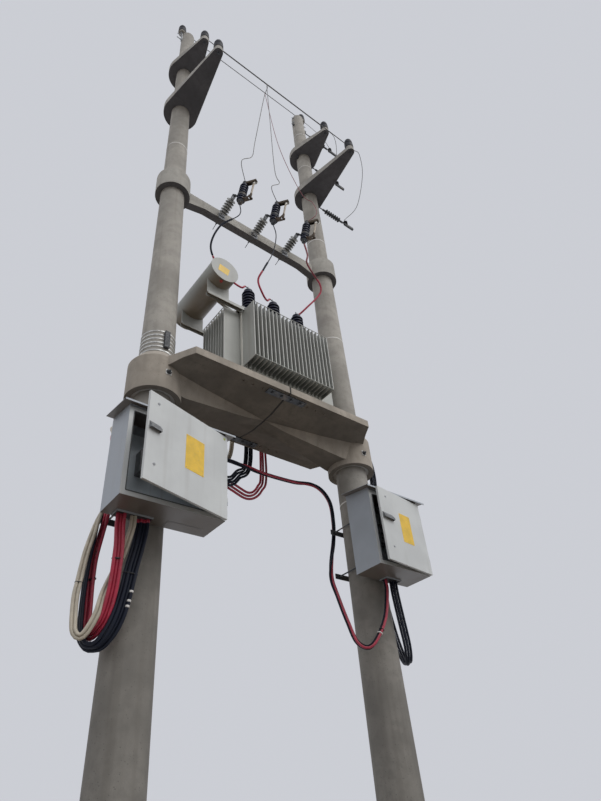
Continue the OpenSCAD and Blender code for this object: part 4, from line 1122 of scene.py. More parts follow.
class Bundle:
    """Cables that share a route and lie side by side."""

    facing = unit(np.array((-0.33, -0.83, -0.46)))
    sides_round = 14
    sleeve_sides = 24
    sleeve_soft = 0.002
    sleeve_end = 0.88

    def __init__(self, route: Sequence[Point], cables: Sequence[Cable], node: str,
                 lays: Sequence[Lay] = (Lay(0.0),), sleeves: Sequence[Sleeve] = (),
                 step: float = 0.03) -> None:
        """Keep what the bundle is made of.

        Args:
            route: Its middle's points.
            cables: Its cables.
            node: The CAD node that they replace.
            lays: How it lies along its run.
            sleeves: What is wound or pushed round it.
            step: Distance between the rings of a cable.
        """
        self.cables = cables
        self.node = node
        self.sleeves = sleeves
        self.step = step
        self.middle = smooth_route(route, step)
        self.run = lengths(self.middle)
        across, toward = self.sides()
        turn, self.spread, side, front = self.laid(lays)
        self.across = np.cos(turn) * across + np.sin(turn) * toward
        self.toward = np.cos(turn) * toward - np.sin(turn) * across
        self.middle = self.middle + side * across + front * toward

    def sides(self) -> tuple[np.ndarray, np.ndarray]:
        """Return the ways across the view and toward the viewer at each point of the run.

        Returns:
            The ways across and toward, one row to a point.
        """
        along = tangents(self.middle)
        across = np.cross(along, self.facing)
        for number in range(1, len(across)):
            if across[number] @ across[number - 1] < 0.0:
                across[number] = -across[number]
        across = unit(softened(across))
        across = unit(across - np.sum(across * along, axis=1, keepdims=True) * along)
        toward = np.cross(across, along)
        toward *= np.where(toward @ self.facing < 0.0, -1.0, 1.0)[:, None]
        return across, toward

    def laid(self, lays: Sequence[Lay]) -> tuple[np.ndarray, ...]:
        """Return the turn, spread and two shifts at each point, eased from lay to lay.

        Args:
            lays: How the bundle lies, in the order of its run.

        Returns:
            Turn in radians, spread, shift across and shift toward, each a column.
        """
        at = [lay.run for lay in lays]
        rows = zip(*((math.radians(lay.turn), lay.spread, lay.across, lay.toward) for lay in lays))
        return tuple(softened(np.interp(self.run, at, row)[:, None]) for row in rows)

    def path(self, cable: Cable) -> np.ndarray:
        """Return the points that one cable follows beside the bundle's middle."""
        offset = cable.across * self.across + cable.toward * self.toward
        return self.middle + self.spread * offset

    def wound(self, sleeve: Sleeve) -> bpy.types.Object:
        """Make a sleeve: an ellipse carried along a stretch of the run, drawn in at both ends.

        Args:
            sleeve: The sleeve.

        Returns:
            Its mesh object.
        """
        path = self.middle if sleeve.member is None else self.path(self.cables[sleeve.member])
        run = lengths(path)
        count = max(3, int(sleeve.length / self.step) + 2)
        at = np.linspace(sleeve.start, sleeve.start + sleeve.length, count)
        soft = min(self.sleeve_soft, sleeve.length * 0.2)
        at = np.concatenate([at[:1], [at[0] + soft], at[1:-1], [at[-1] - soft], at[-1:]])
        centre, across, toward = (np.stack([np.interp(at, run, grid[:, k]) for k in range(3)], 1)
                                  for grid in (path, self.across, self.toward))
        along = tangents(centre)
        way = np.sign(np.sum(np.cross(across, toward) * along, axis=1))[:, None]
        angle = 2 * np.pi * np.arange(self.sleeve_sides) / self.sleeve_sides * way
        size = np.ones((count + 2, 1, 1))
        size[[0, -1]] = self.sleeve_end
        grid = centre[:, None] + size * (
            sleeve.half[0] * np.cos(angle)[..., None] * across[:, None]
            + sleeve.half[1] * np.sin(angle)[..., None] * toward[:, None])
        return Shell().add_grid(grid).piece(sleeve.name, sleeve.finish, sleeve.slot)

    def build(self) -> None:
        sleeves = [self.wound(sleeve) for sleeve in self.sleeves]
        for number, cable in enumerate(self.cables):
            path = self.path(cable)
            tube = Shell().add_grid(tube_grid(path, cable.diameter / 2, self.sides_round))
            piece = tube.piece(cable.name, cable.finish, cable.slot)
            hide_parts(self.node)


# The middles of the bundles, in metres
RED_ROUTE = ((-0.262, -0.262, 3.8397), (-0.262, -0.262, 3.74), (-0.251, -0.262, 3.59),
             (-0.247, -0.248, 3.44), (-0.245, -0.222, 3.3), (-0.25, -0.18, 3.163),
             (-0.268, -0.13, 3.083), (-0.295, -0.07, 3.045), (-0.313, -0.015, 3.08),
             (-0.317, 0.012, 3.16), (-0.32, 0.03, 3.3), (-0.322, 0.042, 3.45), (-0.315, 0.055, 3.62),
             (-0.292, 0.056, 3.8), (-0.272, 0.044, 3.96), (-0.25, 0.048, 4.2), (-0.256, 0.062, 4.5),
             (-0.214, 0.212, 4.8), (-0.04, 0.4, 4.99), (0.3, 0.5, 5.04), (0.8, 0.56, 5.01),
             (1.2, 0.585, 4.9), (1.4, 0.585, 4.85), (1.53, 0.575, 4.96), (1.58, 0.55, 5.2),
             (1.56, 0.545, 6.35), (1.44, 0.5, 6.62), (1.35, 0.32, 6.74), (1.35, 0.1603, 6.74))
BEIGE_ROUTE = ((-0.175, -0.268, 3.8397), (-0.175, -0.268, 3.76), (-0.188, -0.25, 3.66),
               (-0.205, -0.208, 3.54), (-0.238, -0.19, 3.44), (-0.284, -0.184, 3.3),
               (-0.31, -0.178, 3.165), (-0.348, -0.15, 3.061), (-0.378, -0.13, 3.029),
               (-0.406, -0.1, 3.061), (-0.415, -0.08, 3.135), (-0.419, -0.06, 3.286),
               (-0.406, -0.04, 3.393), (-0.382, -0.02, 3.596), (-0.352, -0.005, 3.764),
               (-0.332, 0.0, 3.89), (-0.3, -0.03, 4.08), (-0.298, -0.02, 4.35), (-0.304, 0.11, 4.7),
               (-0.25, 0.268, 4.87), (-0.09, 0.43, 5.06), (0.5, 0.52, 5.14), (1.0, 0.565, 5.18),
               (1.18, 0.56, 5.33), (1.18, 0.545, 6.35), (1.11, 0.5, 6.62), (1.05, 0.32, 6.74),
               (1.05, 0.1603, 6.74))
BLACK_ROUTE = ((-0.095, -0.25, 3.8397), (-0.095, -0.25, 3.76), (-0.115, -0.255, 3.626),
               (-0.144, -0.25, 3.459), (-0.162, -0.24, 3.305), (-0.183, -0.22, 3.16),
               (-0.21, -0.19, 3.06), (-0.245, -0.14, 2.987), (-0.277, -0.095, 2.975),
               (-0.322, -0.066, 2.985), (-0.364, -0.028, 3.06), (-0.372, 0.002, 3.2),
               (-0.372, 0.022, 3.376), (-0.366, 0.032, 3.558), (-0.348, 0.045, 3.76),
               (-0.324, 0.09, 3.9), (-0.266, 0.124, 4.08), (-0.243, 0.134, 4.38), (-0.222, 0.16, 4.58),
               (-0.095, 0.245, 4.74), (0.6, 0.43, 4.86), (1.04, 0.45, 4.85), (1.2, 0.47, 4.98),
               (1.37, 0.525, 5.25), (1.39, 0.545, 6.35), (1.31, 0.5, 6.62), (1.2, 0.32, 6.74),
               (1.2, 0.1603, 6.74))
LINK_ROUTE = ((0.3, -0.19595, 4.33), (0.3, -0.13, 4.33), (0.29, -0.02, 4.5), (0.33, 0.18, 4.8),
              (0.6, 0.34, 4.98), (1.04, 0.4, 5.06), (1.5, 0.42, 5.06), (1.85, 0.37, 5.04),
              (2.08, 0.29, 5.02), (2.2, 0.24, 4.85), (2.22, 0.235, 4.6), (2.18, 0.23, 4.35),
              (2.075, 0.2, 4.0), (2.05, 0.11, 3.75), (2.03, 0.0, 3.48), (2.03, -0.09, 3.28),
              (2.1, -0.18, 3.24), (2.24, -0.24, 3.45), (2.33, -0.245, 3.72), (2.33, -0.245, 3.8397))
RIGHT_ROUTE = ((2.43, -0.25, 3.8397), (2.43, -0.25, 3.72), (2.46, -0.24, 3.5), (2.55, -0.18, 3.28),
               (2.64, -0.08, 3.18), (2.69, 0.02, 3.26), (2.69, 0.08, 3.55), (2.67, 0.11, 4.1),
               (2.68, 0.06, 4.6), (2.69, -0.02, 5.05), (2.69, 0.02, 5.4), (2.66, 0.12, 5.64),
               (2.5, 0.26, 5.72), (2.3, 0.33, 5.73), (2.13, 0.4, 5.8), (2.08, 0.5, 5.98),
               (1.8, 0.545, 6.3), (1.6, 0.5, 6.64), (1.5, 0.32, 6.74), (1.5, 0.1603, 6.74))
LEAD_ROUTES = (
    ((0.9497, -0.15, 7.077), (0.915, -0.15, 7.077), (0.87, -0.148, 7.03), (0.74, -0.145, 7.06),
     (0.56, -0.15, 7.18), (0.42, -0.21, 7.38), (0.47, -0.33, 7.66), (0.66, -0.44, 7.9),
     (0.69879, -0.40307, 8.21115)),
    ((1.2997, -0.15, 7.077), (1.265, -0.15, 7.077), (1.2, -0.18, 6.99), (1.08, -0.26, 6.96),
     (0.99, -0.31, 7.08), (1.03, -0.38, 7.24), (1.14, -0.43, 7.56), (1.19, -0.455, 7.9),
     (1.19879, -0.40307, 8.21115)),
    ((1.6703, -0.15, 7.077), (1.705, -0.15, 7.077), (1.78, -0.23, 7.18), (1.93, -0.33, 7.42),
     (1.91, -0.38, 7.54), (1.79, -0.41, 7.62), (1.67, -0.44, 7.74), (1.69, -0.45, 7.9),
     (1.69879, -0.40307, 8.21115)))
DROPPER_ROUTES = (
    ((0.741207, -0.476533, 8.61023), (0.59, -0.62, 8.76), (0.74, -0.64, 9.0), (0.79, -0.66, 9.4),
     (0.8, -0.9, 10.2), (0.8, -1.0, 10.3561), (0.8, -1.0, 10.4498)),
    ((1.241207, -0.476533, 8.61023), (1.06, -0.6, 8.65), (1.2, -0.6, 8.88), (1.14, -0.6, 9.15),
     (1.14, -0.6, 10.6), (1.14, -0.6, 11.6498)),
    ((1.741207, -0.476533, 8.61023), (1.86, -0.56, 8.8), (1.9, -0.48, 9.2), (1.79, -0.38, 9.5),
     (1.62, -0.2, 10.9), (1.6, 0.0, 13.0445)))
JUMPER_ROUTES = (
    ((3.14519, 0.0, 10.3333), (3.14519, 0.0, 10.3933), (3.23, -0.25, 10.56), (2.95, -0.7, 10.62),
     (2.6, -0.98, 10.49), (2.47, -1.0, 10.4561), (2.4153, -1.0, 10.4561)),
    ((3.13619, 0.0, 11.5333), (3.13619, 0.0, 11.5933), (3.06, -0.12, 11.76), (2.8, -0.42, 11.76),
     (2.6, -0.57, 11.69), (2.47, -0.6, 11.6561), (2.4153, -0.6, 11.6561)),
    ((3.12755, 0.0, 12.6853), (3.12755, 0.0, 12.7453), (3.0, 0.0, 12.93), (2.8, 0.0, 13.01),
     (2.6, 0.0, 13.045), (2.5273, 0.0, 13.0508)))


class Cables:
    """All low-voltage cables and thin conductors."""

    loop = 0.025
    beige = 0.024
    supply = 0.022
    control = 0.018
    lead = 0.012
    wire = 0.009
    fine_step = 0.02

    def ribbon(self, stem: str, look: Look, diameter: float, count: int, pitch: float,
               stagger: float = 0.005) -> list[Cable]:
        """Return cables side by side, alternately a little nearer and farther.

        Args:
            stem: The cables' name, without their numbers.
            look: Finish and slot.
            diameter: Diameter of each.
            count: How many they are.
            pitch: Distance from one to the next.
            stagger: How much nearer or farther.

        Returns:
            The cables.
        """
        return [Cable(f"{stem}_{number + 1}", *look, diameter,
                      (number - (count - 1) / 2) * pitch, stagger * (-1) ** number)
                for number in range(count)]

    def loops(self) -> None:
        """Build the loops under the left cabinet and their runs to the transformer."""
        Bundle(RED_ROUTE, self.ribbon("loop_red", RED, self.loop, 3, 0.023), "loop_cables_red",
               (Lay(0.0), Lay(0.6), Lay(1.05, 45.0, across=0.028), Lay(1.7, 60.0, across=0.028),
                Lay(2.7, 60.0), Lay(3.9), Lay(4.3, 0.0, 1.4, toward=0.008),
                Lay(4.9, 0.0, 1.4, toward=0.008), Lay(5.4)),
               (Sleeve("red_tie_1", *TIE, 0.326, 0.008, (0.04, 0.02)),
                Sleeve("red_tie_2", *TIE, 1.281, 0.007, (0.04, 0.02)))).build()
        Bundle(BEIGE_ROUTE, self.ribbon("loop_beige", BEIGE, self.beige, 2, 0.024, 0.0),
               "loop_cables_beige",
               (Lay(0.0), Lay(1.6), Lay(1.85, 90.0, across=0.012), Lay(2.3, 90.0, across=0.045),
                Lay(2.8, 90.0, across=0.045), Lay(3.1, 90.0), Lay(3.6)),
               (Sleeve("beige_tie_1", *TIE, 1.26, 0.007, (0.026, 0.015)),
                Sleeve("beige_tie_2", *TIE, 0.474, 0.006, (0.0135, 0.0135), 0))).build()
        marks = [Sleeve(f"black_tape_{number}", *TAPE, run, 0.015, (0.0136, 0.0136), 0)
                 for number, run in enumerate((0.53, 0.59, 0.625), 1)]
        heads = [Sleeve(f"black_head_{number}", *RED, 0.0, 0.034, (0.0134, 0.0134), number)
                 for number in range(4)]
        tie = Sleeve("black_tie", *TIE, 0.412, 0.006, (0.051, 0.02))
        Bundle(BLACK_ROUTE, self.ribbon("loop_black", BLACK, self.loop, 4, 0.023),
               "loop_cables_black",
               (Lay(0.0), Lay(0.7), Lay(0.98, 55.0, across=0.016), Lay(1.25, 88.0, across=0.028),
                Lay(2.5, 88.0, across=0.028), Lay(3.0, 60.0), Lay(3.6, 45.0),
                Lay(4.2, 0.0, 1.2), Lay(5.0)), (*marks, *heads, tie)).build()

    def links(self) -> None:
        """Build the runs between the cabinets and from the right cabinet upward."""
        link = (Cable("link_red", *RED, self.supply, 0.0, 0.0125),
                Cable("link_black", *BLACK, self.supply, 0.011, -0.0065),
                Cable("link_dark", *BLACK, self.control, -0.0105, -0.0065))
        Bundle(LINK_ROUTE, link, "link_cables",
               (Lay(0.0, 180.0), Lay(1.55, 180.0), Lay(1.85), Lay(2.35), Lay(2.6, -150.0),
                Lay(3.2, -180.0), Lay(3.8, -360.0)),
               (Sleeve("link_tie_1", *TIE, 4.7, 0.007, (0.024, 0.026)),
                Sleeve("link_tie_2", *TAPE, 4.66, 0.012, (0.024, 0.0255)))).build()
        Bundle(RIGHT_ROUTE, self.ribbon("right_black", BLACK, self.supply, 4, 0.0165, 0.008),
               "right_cables",
               (Lay(0.0), Lay(0.7, 20.0), Lay(0.9, 20.0), Lay(1.6, across=0.02),
                Lay(2.2, across=0.03), Lay(2.6, across=0.03), Lay(3.1)),
               (Sleeve("right_tape", *TAPE, 0.11, 0.014, (0.0122, 0.0122), 1),
                Sleeve("right_tie", *TIE, 0.36, 0.007, (0.036, 0.021)))).build()

    def leads(self) -> None:
        """Build the high-voltage leads, part of each in coloured sleeves."""
        stretches = (((RED, 0.03, 0.56), (BLACK, 0.6, 0.62)), ((RED, 0.03, 0.57), (BLACK, 0.6, 0.17)),
                     ((RED, 0.03, 0.68), (FADED, 0.72, 0.66)))
        for number, (route, parts) in enumerate(zip(LEAD_ROUTES, stretches), 1):
            sleeves = [Sleeve(f"lead_sleeve_{number}{letter}", *look, start, length,
                              (0.0115, 0.0115))
                       for letter, (look, start, length) in zip("ab", parts)]
            Bundle(route, [Cable(f"hv_lead_{number}", *BLACK, self.lead)], "hv_leads",
                   sleeves=sleeves, step=self.fine_step).build()

    def conductors(self) -> None:
        """Build the droppers and jumpers."""
        for stem, routes, looks in (("dropper", DROPPER_ROUTES, (BARE, BARE, FADED)),
                                    ("jumper", JUMPER_ROUTES, (BARE, BARE, BARE))):
            for number, (route, look) in enumerate(zip(routes, looks), 1):
                Bundle(route, [Cable(f"{stem}_{number}", *look, self.wire)], stem + "s",
                       step=self.fine_step).build()

    def build(self) -> None:
        """Build every cord of the object."""
        self.loops()
        self.links()
        self.leads()
        self.conductors()


NODE_FINISHES: dict[str, Finish] = {
    "pole_left": POLE_CONCRETE, "pole_right": POLE_CONCRETE, "platform": PLATFORM_CONCRETE,
    "splice_plates": DARK_STEEL, "crossarm": BEAM_CONCRETE, "bracket": BRACKET_CONCRETE,
    "ridge_pins": GALVANISED, "pin_insulators": DARK_PORCELAIN,
    "strain_insulators": STRING_POLYMER, "extender": GREY_POLYMER,
    "cutout_body": BLUE_PORCELAIN, "fuse_tube": FUSE_FIBRE, "tank": LIT_WALL_PAINT,
    "tank_cover": TANK_PAINT, "fins": FIN_PAINT, "base_rails": TANK_PAINT,
    "conservator": TANK_PAINT, "hv_bushings": BLUE_PORCELAIN, "lv_bushings": BLUE_PORCELAIN,
    "cabinet_left_door": DOOR_PAINT, "cabinet_right_door": DOOR_PAINT,
    # The cabinets' clamps take the dark steel as painted shade, for they hang in shade below the
    # cabinets.
    "cabinet_left_clamps": DARK_STEEL, "cabinet_right_clamps": DARK_STEEL,
    "cabinet_left_panel": PANEL_PAINT, "cabinet_right_panel": PANEL_PAINT,
    "cabinet": CABINET_PAINT, "pole_bands": BAND_ZINC, "line_wires": BARE_CONDUCTOR,
}
# A finish with a test of the faces' middles, whose columns are x, y and z of a place
Choice = tuple[Finish, Callable[[np.ndarray, np.ndarray, np.ndarray], np.ndarray]]
WORLD = Place(np.zeros(3), np.eye(3))
# The extender's foot and end cap, and the light rims of its sheds
EXTENDER_PARTS: tuple[Choice, ...] = (
    (GALVANISED, lambda x, y, z: (z < 0.041) | (z > 0.2635)),
    (SHED_RIM, lambda x, y, z: (np.hypot(x, y) > 0.0565) & (z > 0.041)))
# The cut-out's clamp band, ends and rear arm, its hood, and its lower casting
BODY_PARTS: tuple[Choice, ...] = (
    (DARK_STEEL, lambda x, y, z: (np.hypot(x, y) > 0.0558) & (np.abs(z + 0.06) < 0.0185)
     | (z > 0.1515) | (z < -0.1585) | (np.hypot(x, y) > 0.0575) & (y > 0.0)),
    (HOOD_METAL, lambda x, y, z: (z > 0.1535) & (y < -0.0345)),
    (BRONZE, lambda x, y, z: (z < -0.105) & (y < -0.042)))
# The fuse tube's lower part, its upper ferrule with the pull ring, and its cast foot
TUBE_PARTS: tuple[Choice, ...] = (
    (BROWN_FIBRE, lambda x, y, z: z < -0.02),
    (BRIGHT_METAL, lambda x, y, z: ((z > 0.12) | (np.hypot(x, y + 0.13) > 0.0145)) & (z > 0.0)),
    (BRONZE, lambda x, y, z: z < -0.0655))


class CutoutFrame:
    """Where each cut-out and its extender stand, and their own axes."""

    arm_x: tuple[float, ...] = (0.66, 1.16, 1.66)
    middle: Point = (0.06, -0.439802, 8.41069)
    turn: float = math.radians(30.0)
    lean: float = math.radians(12.0)
    rise: float = math.radians(16.0)
    extender_foot: Point = (0.0, -0.0475, 8.34)

    def body(self, number: int) -> Place:
        """Return the frame of a cut-out's body, its contacts along the negative second axis.

        Args:
            number: The cut-out, counted from 0 at the left.

        Returns:
            The frame.
        """
        cos_turn, sin_turn = math.cos(self.turn), math.sin(self.turn)
        cos_lean, sin_lean = math.cos(self.lean), math.sin(self.lean)
        axes = np.array([(cos_turn, sin_turn, 0.0),
                         (-sin_turn * cos_lean, cos_turn * cos_lean, sin_lean),
                         (sin_turn * sin_lean, -cos_turn * sin_lean, cos_lean)])
        return Place(np.array(self.middle) + np.array((self.arm_x[number], 0.0, 0.0)), axes)

    def extender(self, number: int) -> Place:
        """Return the frame of an extender insulator, its third axis along it.

        Args:
            number: The extender, counted from 0 at the left.

        Returns:
            The frame.
        """
        x, y, z = self.extender_foot
        way = (0.0, -math.cos(self.rise), math.sin(self.rise))
        return Place.along((x + self.arm_x[number], y, z), way)


@dataclass(frozen=True)
class DoorPlace:
    """Where a cabinet's door hangs: its hinge, its turn at rest and the body it is."""

    hinge: tuple[float, float]
    ajar: float
    body: Body
    fold: float = 0.01

    def frame(self, out: float, height: float) -> Place:
        """Return a frame on the door's outer face.

        Args:
            out: Distance from the hinge along the door.
            height: Height above the ground.

        Returns:
            A frame whose axes run toward the hinge, up and out of the door.
        """
        cosine, sine = math.cos(self.ajar), math.sin(self.ajar)
        inward = np.array((cosine, sine, 0.0))
        front = np.array((sine, -cosine, 0.0))
        origin = np.array((*self.hinge, height)) - inward * out + front * self.fold
        return Place(origin, np.array([inward, UP, front]))


class NodeDresser:
    """Gives the CAD nodes their finishes, several to a node where its parts differ."""

    collar: tuple[float, float] = (-0.01, 0.0325)
    bracket_step = 1.2
    top_foot = POLE_HEIGHT + 0.05
    panel_face = 0.024
    sheds: tuple[float, float] = (0.205, 0.555)
    clamp_face = -0.166
    flange = 0.0205
    stud = 0.0605
    proud = 0.001

    def __init__(self, nodes: dict[str, bpy.types.Object]) -> None:
        """Keep the nodes by name."""
        self.nodes = nodes
        self.cutouts = CutoutFrame()

    def plain(self) -> None:
        """Give each node the finish of the longest name that it starts with."""
        for name, node in self.nodes.items():
            stems = [stem for stem in NODE_FINISHES if name.startswith(stem)]
            if stems:
                material = NODE_FINISHES[max(stems, key=len)].material()
                for number in range(len(node.data.materials)):
                    node.data.materials[number] = material

    def shared(self, name: str, choices: Sequence[Choice], place: Place = WORLD) -> None:
        """Give the faces of a node that a test picks a finish of their own.

        Args:
            name: The node.
            choices: Finishes with their tests; a later one wins.
            place: The frame that the tests count in.
        """
        mesh = self.nodes[name].data
        middles = np.empty(len(mesh.polygons) * 3, np.float32)
        mesh.polygons.foreach_get("center", middles)
        columns = place.local(middles.reshape(-1, 3).astype(float)).T
        picked = np.zeros(len(mesh.polygons), np.int32)
        for finish, test in choices:
            mesh.materials.append(finish.material())
            picked[test(*columns)] = len(mesh.materials) - 1
        mesh.polygons.foreach_set("material_index", picked)

    def sides(self) -> None:
        """Pick the collars under the pin insulators, and the switchgear on the panels."""
        for side in ("left", "right"):
            name = f"pin_insulators_{side}"
            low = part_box(name)[0].z
            feet = np.array([[low], [low + self.bracket_step], [self.top_foot]])
            self.shared(name, [(CEMENT, lambda x, y, z: np.any(
                (z > feet + self.collar[0]) & (z < feet + self.collar[1]), axis=0))])
            panel = f"cabinet_{side}_panel"
            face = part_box(panel)[1].y - self.panel_face
            self.shared(panel, [(BREAKER_PLASTIC, lambda x, y, z: y < face)])

    def fittings(self, place: DoorPlace) -> None:
        """Give a door's handle and hinges, which stand in front of its face, their metal."""
        self.shared(place.body.value, [(HANDLE_METAL, lambda x, y, z: z > self.proud)],
                    place.frame(0.0, 0.0))

    def dress(self) -> None:
        """Finish every CAD node."""
        self.plain()
        self.sides()
        first, last = (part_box("strain_insulators")[0].x + end for end in self.sheds)
        self.shared("strain_insulators", [(DARK_STEEL, lambda x, y, z: (x < first) | (x > last))])
        self.shared("pole_bands", [(DARK_STEEL, lambda x, y, z: y < self.clamp_face)])
        for name in ("hv_bushings", "lv_bushings"):
            low, high = (corner.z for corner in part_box(name))
            self.shared(name, [(GALVANISED, lambda x, y, z: (z < low + self.flange)
                                | (z > high - self.stud))])
        for number in range(3):
            body = self.cutouts.body(number)
            self.shared(f"extender_{number + 1}", EXTENDER_PARTS, self.cutouts.extender(number))
            self.shared(f"cutout_body_{number + 1}", BODY_PARTS, body)
            self.shared(f"fuse_tube_{number + 1}", TUBE_PARTS, body)
        LOG.info("finishes on %d nodes", len(self.nodes))


# Bolts: width across the nut's flats, and the stud's length from under its washer
HORN_BOLT = (0.024, 0.08)
STRAP_BOLT = (0.024, 0.03)
RING_BOLT = (0.027, 0.032)
BEAM_BOLT = (0.027, 0.04)
TIP_BOLT = (0.022, 0.035)
SPLICE_BOLT = (0.024, 0.03)
STRING_BOLT = (0.03, 0.05)
LIP_BOLT = (0.018, 0.02)
LIP_NUT = (0.018, 0.014)
THICK_WASHER = 0.004
# Plates: width, depth and corner radius, with the levels as (height, pull)
RING_PLATE = ((0.056, 0.056, 0.005), ((-0.002, 0.0), (0.004, 0.0), (0.005, 0.001)))
BEAM_PLATE = ((0.07, 0.07, 0.004), ((0.0, 0.0), (0.006, 0.0)))
MAIN_GRIP = ((0.07, 0.026, 0.008), ((-0.0005, 0.0), (0.012, 0.003), (0.026, 0.004), (0.029, 0.007)))
SIDE_GRIP = ((0.014, 0.03, 0.003), ((-0.0005, 0.0), (0.002, 0.0), (0.0026, 0.0008)))
PATCH = ((0.125, 0.106, 0.004), ((0.0, 0.0), (0.0008, 0.0)))
# The levels alone, of plates whose size depends on their place
SIGN = ((0.0, 0.0), (0.0008, 0.0), (0.0012, 0.0004))
FOAM = ((0.0, 0.002), (0.002, 0.0), (0.007, 0.0))
SWITCH_COVER = ((-0.001, 0.0), (0.0035, 0.0), (0.0045, 0.0012))
FLOOR_PLATE = ((-0.0006, 0.0), (0.0016, 0.0), (0.0022, 0.0008))
# Turned parts: the profile as (radius, height), with the number of points round it
RIVET = (((0.0035, 0.001), (0.0032, 0.002), (0.0015, 0.0028)), 12)
LOCK_BOLT = (((0.011, 0.0), (0.011, 0.002), (0.0085, 0.0045), (0.004, 0.0062)), 20)
DOT = (((0.011, 0.0), (0.011, 0.0005), (0.0105, 0.0007)), 20)
TERMINAL_SCREW = (((0.009, -0.0005), (0.009, 0.004), (0.0075, 0.0055), (0.003, 0.006)), 16)
FLOOR_SCREW = (((0.005, 0.0015), (0.0048, 0.0032), (0.002, 0.0042)), 12)
SHED = (((0.012, -0.002), (0.034, -0.004), (0.036, -0.001), (0.02, 0.006), (0.012, 0.012)), 24)
PLUG = (((0.017, 0.0), (0.017, 0.006), (0.013, 0.008), (0.013, 0.016), (0.01, 0.019)), 20)
CORNER_ROD = (((0.004, 0.0), (0.006, 0.002), (0.006, 0.888), (0.004, 0.89)), 12)


def corners(near: float, far: float, low: float, high: float, inset: float) -> list:
    """Return a rectangle's four corners, each inset from its edges."""
    return [(x, y) for x in (near + inset, far - inset) for y in (low + inset, high - inset)]


@dataclass
class DoorTrim:
    """Plate, bolts and dot of one cabinet's door."""

    side: str
    place: DoorPlace
    plate: tuple[float, float, float, float]
    bolts: Pairs
    dot: Optional[tuple[float, float]] = None
    inset: float = 0.012

    def build(self) -> None:
        """Build the bare yellow plate with its rivets, the lock's bolts and the dot."""
        near, far, low, high = self.plate
        body = self.place.body
        middle = self.place.frame((near + far) / 2, (low + high) / 2)
        plate = Shell().add_plate((far - near, high - low, 0.006), SIGN, middle)
        plate.piece(f"plate_{self.side}", *PLATE, body)
        rivets = Shell()
        for seat in corners(*self.plate, self.inset):
            rivets.add_turned(*RIVET, self.place.frame(*seat))
        for seat in self.bolts:
            rivets.add_turned(*LOCK_BOLT, self.place.frame(*seat))
        rivets.piece(f"door_rivets_{self.side}", *ZINC, body)
        if self.dot is not None:
            mark = Shell().add_turned(*DOT, self.place.frame(*self.dot))
            mark.piece(f"door_dot_{self.side}", GREEN_DOT, "door_paint", body)


